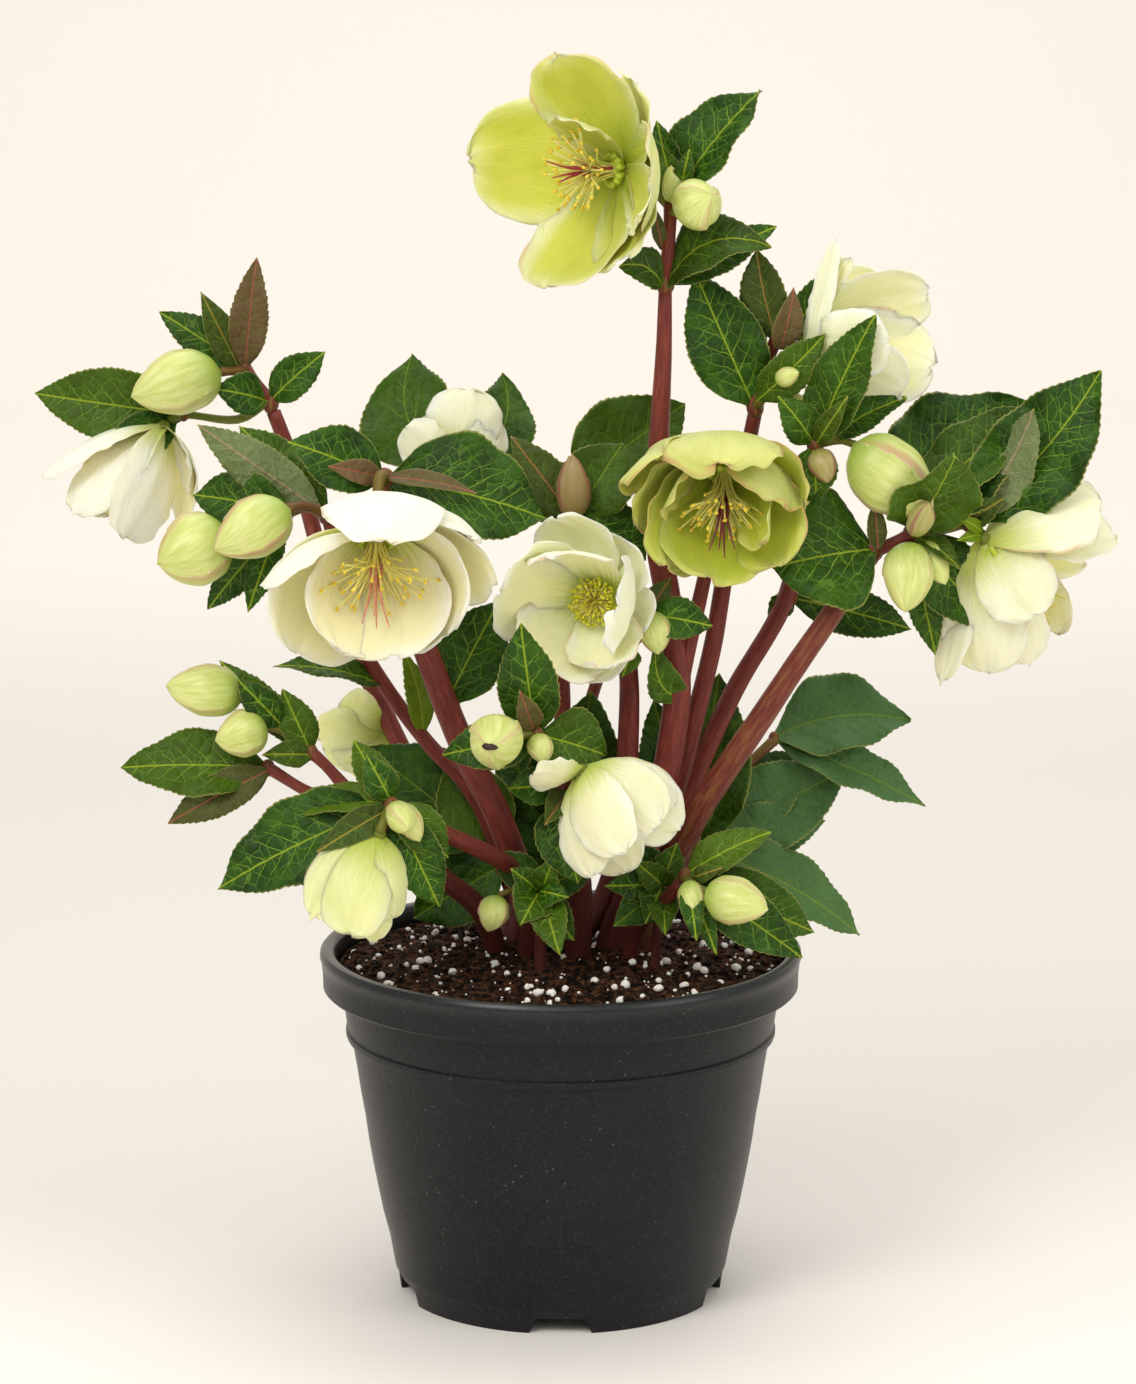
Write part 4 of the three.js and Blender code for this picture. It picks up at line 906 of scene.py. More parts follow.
def makePotFinish():
    look, f = potFinish, Finish("potPlastic")
    mottle = f.noise(f.here, 14.0, 5.0, 0.6)
    fine = f.noise(f.here, 900.0, 2.0)
    colour = f.blend(f.ramp(mottle, 0.3, 0.75), look["base"], look["light"])
    colour = f.blend(f.ramp(fine, 0.52, 0.72, 0.0, 0.8), colour, look["grain"])
    speck = f.ramp(f.cells(f.here, look["speckScale"]), 0.05, 0.11, 1.0, 0.0)
    few = f.ramp(f.noise(f.here, 60.0, 1.0), 0.44, 0.60)
    colour = f.blend(f.times(speck, few, 0.55), colour, look["speck"])
    x, y, z = f.split(f.here)
    turn = f.maths("ARCTAN2", y, x)
    scratch = f.noise(f.gather(f.times(turn, 60.0), f.times(z, 9.0), 0.0), 1.6, 2.0)
    colour = f.blend(f.times(f.ramp(scratch, 0.70, 0.76), look["scratch"]), colour, look["speck"])
    f.wear({"Base Color": colour, "Specular IOR Level": look["specular"],
            "Roughness": f.plus(look["rough"], f.times(mottle, 0.14)),
            "Coat Weight": f.ramp(z, *look["lipHeights"], 0.0, look["lipSheen"]), "Coat Roughness": 0.3,
            "Normal": f.bump(f.plus(fine, f.times(mottle, 0.5)), 0.00025, 0.35)})


soilFinish = {
    "dark": (0.005, 0.0024, 0.0014),
    "peat": (0.135, 0.052, 0.020),
    "fibre": (0.34, 0.17, 0.075),
    "coarseScale": 330.0,
    "fineScale": 700.0,
    "perlite": (0.84, 0.77, 0.68),
    "perliteBright": (0.97, 0.93, 0.86),
    "perliteScale": 800.0,
}


def makeSoilFinishes():
    look, f = soilFinish, Finish("peat")
    coarse = f.noise(f.here, look["coarseScale"], 6.0, 0.75)
    fine = f.noise(f.here, look["fineScale"], 4.0, 0.7)
    colour = f.blend(f.ramp(coarse, 0.45, 0.62), look["dark"], look["peat"])
    colour = f.blend(f.times(f.ramp(fine, 0.6, 0.78), 0.5), colour, look["fibre"])
    f.wear({"Base Color": colour, "Roughness": 0.85, "Specular IOR Level": 0.15,
            "Normal": f.bump(f.plus(coarse, fine), 0.0016, 0.9)})
    f = Finish("perlite")
    grain = f.noise(f.here, look["perliteScale"], 4.0, 0.7)
    f.wear({"Base Color": f.blend(f.ramp(grain, 0.35, 0.6), look["perlite"], look["perliteBright"]),
            "Roughness": 0.8, "Subsurface Weight": 0.2, "Subsurface Scale": 0.001,
            "Normal": f.bump(grain, 0.0005, 0.8)})


for isLower, name in enumerate(("leafUpper", "leafUnder")):
    makeLeafFinish(name, bool(isLower))
for kind in sepalFinish:
    makeSepalFinish(kind, False)
    makeSepalFinish(kind, True)
makeBudFinish()
makeStemFinish()
for name, look in smallFinish.items():
    makeSmallFinish(name, *look)
makePotFinish()
makeSoilFinishes()
print("finishes ready:", len(finishes))


# stalks that rise from the soil
stems = {
    "stem_tall": [
        stalk(4.5, [17, 2], [22, 137, 2], [30, 161, 1], [35, 182, 0], [38, 203, -1], [38, 213, 1],
              [35, 238, 4],
              [32, 256, 6], [31, 275, 8], [32, 298, 7], [33.5, 326, 5], [34, 346, 4], tint=0.1, taper=0.52),
        branch(2.8, [37, 197, -1], [42, 221, 2], [46, 238, 5], [49, 252, 7], [54, 279, 6], [55, 288, 1.5],
               tint=0.3),
        leaf([41.5, 203.5, 0], [31, 224, -5], 13, (0.25, -0.9, 0.3), 3, sweep=-7, fold=0.5, age=-0.2),
    ],
    "stem_upper_right": [
        stalk(3.2, [17, 15], [25, 133, 13], [32, 154, 11], [40, 179, 10], [46, 203, 10], [51, 224, 11],
              [54.5, 245, 12], [59.5, 273, 16], [63.5, 294, 13], [65.5, 304, 9], tint=0.15),
    ],
    "stem_shoulder": [
        stalk(3.3, [9, 27], [27, 135, 31], [36, 154, 34], [47, 182, 35], [58.5, 207, 34], [76, 238, 26],
              [81.5, 266, 13], [86, 289, 4], tint=0.25),
    ],
    "stem_right": [
        stalk(4.3, [29, 8], [33, 143, 8], [40, 154, 5], [48, 168, 1], [67, 196, -2], [81, 217, -3],
              [93.5, 235, -2], [103, 250, 0], [106, 254, 1], tint=0.45),
    ],
    "stem_left": [
        stalk(4.4, [-8, 6], [-9, 128, 3], [-17, 144, -6], [-25.5, 165, -14], [-34, 181, -18],
              [-43, 202, -22], [-50, 221, -24], [-57, 238, -21], [-62, 259, -14], [-64, 277, -10]),
        leaf([-43, 201, -20], [-24, 238, -8], 25),
    ],
    "stem_outer_left": [
        stalk(2.6, [-16, 12], [-18, 136, 15], [-26, 156, 12], [-36, 174, 6], [-49, 188, 4], [-64, 208, 5],
              [-73, 224, 5], [-80, 250, 1], [-84, 266, -3], tint=0.2),
        leaf([-64, 208, 5], [-103, 215, -8], 13, (-0.2, -0.5, 0.8)),
        leaf([-51, 190.5, 4], [-58, 221, -2], 9, sweep=2, age=-0.7),
    ],
    "stem_middle": [
        stalk(4, [5, 8], [12, 132, 10], [18, 150, 10], [20, 170, 6], [21.5, 203, -1], [21, 217, -6]),
    ],
    "stem_centre_back": [
        stalk(2.9, [-3, 19], [-3, 151, 19], [-2, 203, 15], [-2.5, 217, 14], [-1, 252, 9], [2, 264, 4],
              tint=0.1),
    ],
    "stem_front": [
        stalk(4.3, [6, -10], [4, 136, -14], [2, 155, -21], [-1, 168, -27]),
    ],
    "stem_lower_left": [
        stalk(3, [-12, -8], [-13, 138, -15], [-20, 145, -24], [-31, 151, -36], [-42, 156, -46],
              [-54, 161.5, -54], [-60, 165, -57]),
    ],
    "stem_mid_left": [
        stalk(3.5, [-23, 0], [-31, 130, -4], [-44, 141, -8], [-59, 153, -11], [-72, 165.5, -12], tint=0.1),
    ],
    "stem_far_left": [
        stalk(3.3, [-20, 24], [-28, 133, 34], [-40, 152, 48], [-50, 169, 60], [-59, 188, 70],
              [-69, 209, 80],
              [-83, 242, 87], [-94, 280, 88], [-103, 304, 86], tint=0.3),
    ],
    "stem_lower_right": [
        stalk(2.6, [24, -10], [26, 126, -16], [34, 133, -28], [39.5, 139.5, -39], tint=0.15),
    ],
}


# rings of stamens
stamens = {
    "stamens_tall": stamenFan([18, 389, 6], [-0.85, -0.5, 0], long=25, spread=0.75, pistil=27),
    "stamens_lime": stamenFan([55, 285, -6], [-0.05, -0.55, -0.8], long=24, spread=0.75, pistil=30, droop=3,
                              style="maroonStyle"),
    "stamens_right": stamenFan([146, 260, 0], [0.7, -0.1, -0.7], long=24, spread=0.35, pistil=34, seat=3,
                               style="paleStyle"),
    "stamens_left": stamenFan([-67, 261, -36], [0, -0.55, -0.83], long=25, spread=0.95, pistil=30, droop=4,
                              style="blushStyle"),
    "stamens_middle": stamenFan([11, 239, -15], [-0.35, -0.93, -0.08], long=11, spread=0.95, pistil=15,
                                count=90,
                                  style="paleStyle", anther="greenAnther"),
}


# sepals of each bloom: kind, root, axis, then one entry for each sepal
blooms = {
    "bloom_tall": ("lime", [18, 389, 6], (-0.75, -0.65, 0), [
        sepal([-34, 391.5, 14], 45, 9, twist=0.1, wave=1.3, point=2, dish=0.15, sweep=-1),
        sepal([-3.5, 428.5, -6], 40, 8, flush=0.7, twist=-0.25, wave=1.4, point=2, sweep=-1),
        sepal([-6.5, 346.5, -6], 46, 9, twist=-0.1, wave=1.3, sweep=1),
        sepal([27, 384, -32], 40, 7, look=(-1, -0.25, 0), twist=0, wave=1.1),
        sepal([22.5, 419.5, -10], 32, 7, twist=0.3, wave=1.3, flush=0.7),
        sepal([20.5, 356.5, -22], 36, 7, twist=0.1, wave=1.2),
        sepal([-5, 405.5, -8], 24, 4, flush=1, wave=1.8),
        sepal([25, 372, -36], 22, 6, look=(-1, -0.2, 0.2), twist=0.1, wave=1.2),
    ]),
    "bloom_lime": ("green", [55, 289, -2], (-0.1, -0.8, -0.55), [
        sepal([32, 286.5, -26], 30, 7, flush=1, look=(0.3, 0.2, -0.9), twist=0, wave=1.8),
        sepal([77, 270.5, -24], 36, 8, flush=1, look=(-0.4, 0.1, -0.9), twist=0, wave=1.8),
        sepal([54, 286.5, -40], 42, 11, flush=1, look=(0, 0.1, -1), twist=0, wave=1.8),
        sepal([19.5, 278, -22], 33, 7, flush=1, twist=0.3, wave=1.8),
        sepal([25, 263, -14], 32, 6, flush=1, wave=1.7),
        sepal([33, 250, -18], 34, 8, wave=1.7),
        sepal([50.5, 245.5, -22], 42, 8, wave=1.7),
        sepal([73, 250.5, -20], 36, 7, wave=1.7),
        sepal([83, 268, -15], 36, 7, flush=1, wave=1.7),
        sepal([35, 268, -28], 21, 4, flush=1, wave=2),
        sepal([69, 257.5, -28], 21, 4, flush=1, wave=2),
    ]),
    "bloom_upper_right": ("clear", [83, 328.5, 8], (0.85, 0.35, 0.35), [
        sepal([94.5, 363.5, 4], 9.5, 2, look=(0.6, 0.75, 0), flush=0, twist=0, foot=[83, 317.5, 4],
              sweep=-1, dish=0.1, point=3),
        sepal([98.5, 358, 0], 8, 2, look=(-0.3, -0.9, 0.2), foot=[91, 341.5, 3], twist=0, sweep=-2),
        sepal([109, 349.5, 24], 27, 6, look=(-0.2, -0.8, -0.3), twist=0),
        sepal([126.5, 345, 10], 31, 7, look=(-0.25, -0.8, -0.5), twist=-0.1),
        sepal([127.5, 320, 16], 34, 7, look=(-0.3, -0.9, 0.1), twist=0.1),
        sepal([117, 311, 4], 30, 4, look=(-0.1, 0.8, 0.5), twist=0, wave=1.5, dish=0.1),
        sepal([113, 328, -10], 25, 4, look=(0.15, 0.95, 0.15), twist=0.1, wave=1.5, dish=0.12),
    ]),
    "bloom_right": ("cream", [146, 259.5, 0], (0.75, -0.2, -0.65), [
        sepal([182, 251.5, 16], 27, 6, look=(-0.3, -0.9, -0.3), twist=0),
        sepal([192, 261.5, 4], 30, 6, look=(-0.1, 0.6, -0.8), twist=0.1),
        sepal([186, 273, -4], 36, 7, look=(0, 0.55, -0.85), twist=0, wave=1.4),
        sepal([169.5, 225.5, 16], 27, 7, look=(-0.5, -0.8, 0.1), twist=0),
        sepal([161.5, 216, 12], 24, 6, look=(-0.2, 0.8, 0.4), twist=0.1),
        sepal([130, 211, 4], 15, 3, look=(0.7, 0.6, 0.1), twist=0, point=3),
        sepal([147, 213, 6], 32, 6, look=(0.3, 0.8, 0.3), twist=0, wave=1.6, dish=0.15),
        sepal([165, 233, -15], 28, 4, look=(0.2, 0.95, -0.15), twist=0, wave=1.7, dish=0.08),
    ]),
    "bloom_left": ("white", [-67, 262, -33], (0, -0.7, -0.7), [
        sepal([-94, 219, -46], 48, 9, twist=-0.1),
        sepal([-42, 226, -50], 46, 9, twist=0.15),
        sepal([-61, 218, -50], 46, 8, twist=0),
        sepal([-78, 221, -53], 38, 7, twist=0),
        sepal([-26.5, 242, -46], 34, 7, twist=0.1),
        sepal([-106, 244, -56], 25, 8, look=(0.6, 0.2, -0.8), twist=0),
        sepal([-34, 258.5, -58], 27, 9, look=(-0.6, 0.2, -0.8), twist=0),
        sepal([-63.5, 259, -76], 42, 15, look=(0, 0.1, -1), twist=0, wave=1.3),
    ]),
    "bloom_middle": ("clear", [11, 239, -15], (-0.35, -0.93, 0), [
        sepal([-5, 266, -22], 31, 6),
        sepal([19, 260, -20], 28, 6),
        sepal([26, 226, -22], 28, 6),
        sepal([2, 211, -28], 32, 7),
        sepal([-24, 240, -38], 40, 9, wave=1.6),
        sepal([-6, 254, -42], 32, 9, wave=1.6),
        sepal([-9, 217, -38], 36, 9, wave=1.6),
        sepal([17, 236, -44], 34, 9, look=(-1, -0.15, 0), wave=1.6),
        sepal([12, 214, -36], 28, 8, wave=1.6),
    ]),
    "bloom_front": ("butter", [5, 178.5, -46], (0.6, -0.4, -0.7), [
        sepal([21.5, 144, -54], 30, 7, look=(0.1, 0.7, 0.65), twist=0, wave=0.8),
        sepal([9, 142.5, -60], 27, 4, look=(0.6, 0.75, 0.15), twist=0, wave=0.8, sweep=0, flush=0,
              dish=0.2),
        sepal([-11.5, 175.5, -56], 19, 3, look=(0.1, 0.75, 0.6), twist=0, wave=1, flush=0, sweep=1),
        sepal([38.5, 158, -50], 28, 7, look=(-0.45, 0.8, -0.2), twist=0, wave=0.8),
        sepal([32, 160, -60], 28, 7, look=(-0.25, 0.95, -0.2), twist=0, wave=0.7, dish=0.35, flush=0),
        sepal([19.5, 151, -72], 25, 8, look=(0.25, 0.95, 0.1), twist=0, wave=0.9, dish=0.3, flush=0),
        sepal([37, 166, -52], 24, 5, look=(-0.35, 0.5, -0.8), twist=0, wave=0.8),
    ]),
    "bloom_bell": ("pale", [-66, 156, -66], (-0.12, -0.1, -1), [
        sepal([-76.5, 120.5, -56], 25, 6, look=(0, -1, 0), twist=0),
        sepal([-68, 119.5, -70], 16, 4, look=(-0.2, 0.95, 0.1), twist=0, wave=1.2, dish=0.3, sweep=-2),
        sepal([-89, 128.5, -80], 18, 6, look=(0.5, 0.85, 0.1), twist=0, flush=1, point=3, dish=0.4,
              sweep=-3, wave=0.7),
        sepal([-62, 127, -70], 18, 5, look=(-0.75, 0.6, 0), twist=0, dish=0.45, wave=0.8, sweep=-1),
        sepal([-76.5, 121.5, -83], 26, 6, look=(0.1, 0.98, 0), twist=0, wave=0.8, dish=0.5, flush=0.4,
              sweep=-3),
    ]),
    "bloom_far_left": ("white", [-141.5, 299, 77], [-0.5, -0.2, -0.85], [
        sepal([-182.5, 280.5, 70], 29, 5),
        sepal([-173.5, 269, 62], 30, 6),
        sepal([-154, 260, 56], 33, 7),
        sepal([-137, 263, 74], 30, 7),
        sepal([-165, 268, 86], 32, 6),
        sepal([-131.5, 276, 72], 24, 6),
    ]),
    "bloom_back": ("cream", [-40, 285, 46], (-0.1, -0.9, 0.4), [
        sepal([-24, 300, 52], 19, 5, look=(0, 0.9, 0.3), twist=0),
        sepal([-57, 298, 46], 20, 5, look=(0.1, 0.9, 0.3), twist=0),
        sepal([-34, 312, 48], 27, 6, look=(0, 0.95, 0.2), twist=0),
        sepal([-45, 305.5, 56], 22, 5, look=(0, -0.9, 0.3), twist=0),
    ]),
    "bloom_low_back": ("pale", [-63.5, 193, 75], (-0.8, 0.2, -0.2), [
        sepal([-86, 188.5, 82], 27, 5, look=(0.1, 0.9, 0.2), twist=0),
        sepal([-80.5, 199, 78], 25, 5, look=(0.1, 0.9, 0.2), twist=0),
        sepal([-79, 179.5, 76], 24, 5, look=(0.1, 0.9, 0.2), twist=0),
    ]),
}


# single buds
buds = {
    "bud_tall": [bud([41, 374, -2], [50, 380, -14], 18)],
    "bud_shoulder": [bud([99.5, 293, -4], [127, 270, -12], 25.5, 0.9, turn=0.02)],
    "bud_right": [bud([120, 258.5, -6], [118, 234.5, -20], 17.5, 0.3)],
    "bud_left": [bud([-97, 270, -22], [-123, 256, -33], 20.5, 0.8)],
    "bud_outer_left": [bud([-118, 260, -14], [-143, 251, -24], 25, 0.6, 0.8)],
    "bud_front": [bud([-23, 191, -46], [-27.5, 187, -67], 18.5, 0.5, turn=0.05, mouth=True)],
    "bud_mid_left_upper": [bud([-113, 205, -14], [-140, 208, -16], 18, 0.5)],
    "bud_mid_left_lower": [bud([-105, 193.5, -18], [-123, 189, -24], 16.5, 0.4)],
    "bud_far_left": [bud([-121, 318, 77], [-152, 309.5, 67], 23, 0.3)],
    "bud_lower_right": [bud([48, 136, -50], [69.5, 130, -61], 16.5, 0.5)],
}


# leafy tops, side shoots and basal leaves
sprays = {
    "leaves_tall": [
        knob([34, 349, 4], 4.4),
        branch(2.5, [34, 348, 4], [35.5, 366, 4], [36, 377, 6]),
        branch(2, [36, 376, 6], [28, 384, 9], [19, 389, 9], tint=0.8),
        branch(1.6, [36, 374, 5], [40, 374, 0], [42, 374.5, -3], tint=0.9),
        knob([36.5, 377, 6], 3.4),
        leaf([37, 378, 7], [67.5, 416.5, 6], 26, (-0.5, -0.8, 0.5), fold=0.45),
        leaf([37, 378, 8], [31, 406, 12], 11),
        leaf([37, 378, 6], [33, 397, 4], 10),
        leaf([39, 380, 4], [42.5, 396, 2], 7),
        bud([36.5, 377, 4], [36, 390, 1], 7.5),
        leaf([34, 348, 2], [71, 362, -8], 23, (0.1, -0.75, 0.65), 5, sweep=-7, age=0.28),
        leaf([35, 349, 5], [73, 369, 11], 15, (0, -0.9, 0.4)),
        leaf([33, 348, 1], [18, 355, -4], 15, (0, -0.85, 0.5), 2, sweep=3, age=0.28),
        bract([33, 361, 4], [29.5, 377, 2], 5),
    ],
    "leaves_upper_right": [
        knob([65.5, 306, 8], 4.2),
        branch(2.5, [65.5, 306, 8], [70, 322, 8], [73.5, 331, 7]),
        branch(1.9, [66, 306, 6], [72.5, 317, 3], [79, 326, 4], [83, 328, 6], tint=0.7),
        leaf([65, 306, 7], [44.5, 353, 10], 27, (-0.2, -0.9, 0.4)),
        knob([73, 329, 7], 3.2),
        leaf([73, 329, 7], [66, 361, 6], 17, (-0.3, -0.95, 0.1), age=0.45),
        bract([74, 326, 3], [79, 347.5, -1], 11, (0.3, -0.95, 0), age=0.85),
        leaf([76, 328, 9], [91, 353.5, 15], 13, (0.4, -0.8, 0.4)),
        bract([69, 325, 10], [60, 344, 9], 6),
        bud([73, 315, 0], [80.5, 318, -6], 7),
        leaf([66, 308, 4], [90, 331.5, -4], 15, (0.2, -1, 0.1)),
    ],
    "leaves_shoulder": [
        knob([86.5, 292.5, 2], 4),
        branch(1.5, [86.5, 292.5, 1], [95.5, 294, -1], [102, 292, -4], tint=0.8),
        leaf([86.5, 293, 1], [107.5, 338, -14], 21, (-0.3, -0.9, 0.2)),
        leaf([89, 293, 2], [118.5, 309, 7], 14, (0, -0.7, 0.7)),
        bract([87, 293, 0], [98, 309.5, -17], 8, age=0.3),
        leaf([86, 293, 1], [73.5, 309.5, -4], 14),
        leaf([85.5, 292, 1], [87, 272.5, -5], 16),
        bud([87.5, 291, -1], [91, 279.5, -8], 10, 1.6),
        bud([83, 295, 4], [80, 310.5, 5], 8.5),
    ],
    "leaves_far_side": [
        leaf([78, 239, 31], [120, 228, 38], 18),
        leaf([79, 239, 31], [70, 232, 30], 9),
        knob([78.5, 239, 31], 2.6),
    ],
    "leaves_right": [
        knob([107, 256, 1], 4.6),
        branch(2.4, [107, 255.5, 1], [112.5, 257.5, 1], [119.5, 261, 0]),
        branch(1.8, [119.5, 261, 0], [132, 263, 6], [140, 264.5, 7], [145, 261, 3], tint=0.7),
        leaf([107, 256, -1], [71.5, 249.5, -10], 44, (-0.1, -0.9, 0.4)),
        bract([108.5, 256, -3], [107, 273.5, -3], 7),
        knob([120, 261.5, 1], 3.8),
        knob([140, 265, 7], 3.2),
        bud([121, 261.5, -8], [126, 272, -24], 9, 1.5, turn=0),
        leaf([121, 262, -3], [135.5, 288.5, -26], 34, (0.3, -0.9, -0.1), 1, age=-0.2, fold=0.15),
        leaf([120, 262, 5], [164, 307, 24], 46, (-0.2, -0.8, 0.5), sweep=-7),
        leaf([121, 263, 4], [166, 306, 14], 26, (-0.3, -0.75, 0.6), sweep=-3),
        leaf([141, 266, 6], [186.5, 318.5, 4], 36, (-0.2, -0.9, 0.3), sweep=4),
        leaf([141, 266, 4], [163, 305, -8], 19, underside, sweep=-1),
        leaf([140, 265, 5], [153, 274, -2], 9, age=0.4),
        bract([145, 262, 1], [136, 267.5, -6], 5, age=-0.8),
        bract([145, 261, 1], [136, 259, -6], 5, age=-0.8),
        bud([124, 259, -4], [132, 244, -12], 10, 0.3),
        bract([122, 260, -4], [137, 249, -14], 10, (0.2, -0.5, 0.85), age=0.3),
        leaf([121, 261, 4], [147, 228, 1], 25, fold=0.2),
        leaf([119, 259, 4], [128.5, 219, 5], 13, age=-0.1),
    ],
    "leaves_left": [
        knob([-64, 280, -12], 4.6),
        branch(2.2, [-64, 280, -12], [-66, 281, -24], [-67, 266, -31], tint=0.7),
        leaf([-63, 280, -12], [-7.5, 266.5, -12], 41, (0.1, -0.85, 0.5), 5),
        leaf([-65, 280, -12], [-98, 293.5, -16], 23, (-0.2, -0.8, 0.5)),
        leaf([-62, 281, -10], [-24, 288, 4], 14),
        bract([-65, 281, -15], [-84, 285, -24], 9, age=0.9),
        bract([-63, 281, -18], [-32, 275.5, -28], 9, skyward, age=0.8),
    ],
    "leaves_outer_left": [
        knob([-84.5, 268, -4], 3.8),
        branch(2, [-84.5, 268, -5], [-92, 271, -12], [-99, 270, -20], tint=0.6),
        branch(1.6, [-92, 271, -12], [-106, 265, -12], [-119, 260, -14], tint=0.6),
        knob([-98, 269, -11], 3),
        leaf([-86, 269, -6], [-129.5, 299.5, -12], 17, underside),
        leaf([-84, 268, -1], [-115, 299, 12], 18),
        leaf([-97, 269, -10], [-131, 275, 4], 21),
        leaf([-98, 268, -10], [-126, 235, 2], 15),
        leaf([-100, 267, -10], [-112, 234, -12], 11),
    ],
    "leaves_middle": [
        knob([21, 219.5, -8], 4.4),
        branch(2.3, [21, 220, -8], [16, 231, -11], [9, 238.5, -14]),
        branch(1.5, [21, 220, -8], [27, 228, -9], [29, 234, -11]),
        bud([29, 234.5, -12], [31.5, 219.5, -17], 12, 0.7),
        leaf([28, 233, -10], [50.5, 229, -14], 15),
        bract([27, 232, -10], [36, 246, -6], 9, age=0.5),
        leaf([23, 221, -11], [19, 211, -18], 8),
    ],
    "leaves_centre_back": [
        knob([2, 266, 3], 3.4),
        bud([2, 266, 3], [1.5, 288.5, -1], 12, 1.75),
        leaf([2, 266, 4], [-20, 295.5, 4], 16, age=0.5),
        leaf([2, 266, 4], [27, 252, 10], 26),
        leaf([3, 267, 5], [19, 293, 14], 26, haze=1),
        leaf([1, 266, 5], [-14, 285, 16], 24, haze=1),
    ],
    "leaves_front": [
        knob([-1.5, 170, -28], 4.6),
        branch(2.2, [-1.5, 170, -28], [-5.5, 182, -34], [-11, 191, -41]),
        branch(2.2, [-1.5, 170, -28], [2, 177, -36], [5, 178.5, -42]),
        branch(1.6, [-11, 191, -41], [-16, 191, -44], [-22, 190.5, -47], tint=0.8),
        knob([-11, 191, -41], 3.6),
        leaf([-11, 191, -40], [-16.5, 230, -46], 21, (-0.1, -0.95, 0.25), age=-0.08),
        bract([-12, 193, -43], [-17, 206.5, -52], 9, age=0.8),
        leaf([-11, 190, -40], [-44, 184, -44], 18),
        leaf([-10, 191, -40], [13, 184, -33], 25),
        leaf([-2, 169, -29], [3.5, 139, -38], 22, (-0.2, -0.95, 0.2), age=-0.08),
        bract([0, 171, -33], [-8, 159.5, -52], 10, age=0.5),
        leaf([-4, 173, -32], [-21, 172, -34], 13),
        bud([-11, 191, -43], [-8, 181.5, -51], 9, 0.6),
    ],
    "leaves_lower_left": [
        knob([-62, 166, -58], 4),
        branch(1.7, [-62, 166, -58], [-64, 162, -65], [-66, 157, -68], tint=0.8),
        leaf([-63, 166, -58], [-122.5, 137, -56], 31, (-0.1, -0.85, 0.5), 5),
        bract([-63, 165, -60], [-88, 150, -72], 11, age=0.4),
        leaf([-64, 167, -58], [-100, 164, -52], 15, skyward, age=-0.35),
        leaf([-62, 167, -57], [-75, 189, -50], 12),
        leaf([-62, 168, -58], [-70.5, 184, -60], 12),
        leaf([-61, 165, -59], [-45, 131, -57], 18),
        leaf([-60, 167, -57], [-42, 148, -58], 15),
        bud([-61, 166, -60], [-56, 158, -73], 10, 0.5),
        bud([-59, 167, -59], [-52, 154, -65], 9.5, 0.7),
    ],
    "leaves_mid_left": [
        knob([-74, 168, -12], 4),
        branch(2.3, [-74, 168, -12], [-85, 180.5, -12], [-90, 185, -12]),
        branch(2.2, [-74, 167, -12], [-88.5, 170, -14], [-105, 179.5, -16]),
        branch(1.6, [-90, 185, -12], [-100, 194, -13], [-114, 205, -13], tint=0.7),
        branch(1.6, [-96, 190, -13], [-101, 193, -15], [-106, 193.5, -18], tint=0.7),
        knob([-90, 185, -12], 3.2),
        knob([-105, 179.5, -15], 3.2),
        leaf([-91, 186, -11], [-122, 217, -4], 12),
        leaf([-90, 185, -12], [-100, 207, -12], 13),
        leaf([-100, 194, -15], [-116, 210.5, -20], 12),
        leaf([-105, 179.5, -14], [-156.5, 179.5, -12], 25, (-0.1, -0.85, 0.5)),
        leaf([-104, 179, -17], [-140, 160, -18], 15, age=0.7),
        bract([-90, 184, -13], [-107, 184, -20], 10, age=0.3),
    ],
    "leaves_far_left": [
        knob([-104, 307, 86], 4),
        branch(2.6, [-104, 307, 86], [-108, 312, 86], [-113, 319, 85]),
        branch(1.6, [-105, 308, 85], [-115, 301.5, 84], [-135, 303, 83], [-139.5, 301, 79], tint=0.9),
        branch(1.8, [-113, 318.5, 84], [-121.5, 318, 77], tint=0.6),
        knob([-134.5, 303, 83], 2.6),
        knob([-113, 319, 85], 3.4),
        leaf([-133.5, 303, 83.5], [-186.5, 310.5, 90], 27, (0, -1, 0.1)),
        leaf([-137, 302, 82], [-163, 285, 72], 18),
        leaf([-113, 319, 86], [-143, 339, 89], 15),
        leaf([-113, 319, 84], [-109, 358, 79], 14, age=0.85),
        leaf([-104, 308, 85], [-85, 325, 82], 15),
        leaf([-106, 308, 83], [-124, 312, 74], 16),
        bract([-115, 319, 85], [-128.5, 346, 82], 12, age=0.4),
    ],
    "leaves_back": [
        stalk(2.3, [-13, 26], [-25, 150, 27], [-38, 190, 30], [-42, 225, 34], [-41, 262, 40],
              [-39.5, 282, 47],
              tint=0.4),
        knob([-39.5, 281, 47], 3.4),
        leaf([-40, 281, 50], [-54.5, 324, 74], 36, sweep=-9, haze=1),
        leaf([-38, 281, 50], [-23, 317.5, 76], 24, sweep=8, haze=1),
        leaf([-40, 278, 47], [-50, 311, 66], 18, haze=1),
        leaf([-27, 152, 28], [-70.5, 186.5, 44], 36, haze=1),
        leaf([-25, 150, 28], [-41.5, 182.5, 38], 28, haze=1),
        leaf([-22, 146, 28], [-54, 127, 32], 26, haze=1),
    ],
    "leaves_tall_back": [
        stalk(2.2, [-2, 30], [-1, 151, 34], [3, 182, 38], [8, 203, 42], [13, 222, 46], [9, 262, 52],
              [1, 281, 52], tint=0.4),
        leaf([2, 278, 52], [41, 307, 60], 35, haze=1),
        leaf([0, 156, 33], [8, 206, 23], 36, haze=1),
        leaf([-1, 146, 33], [-22, 188, 46], 32, haze=1),
        leaf([-2, 148, 33], [-44, 168.5, 40], 26, haze=1),
    ],
    "leaves_lower_right": [
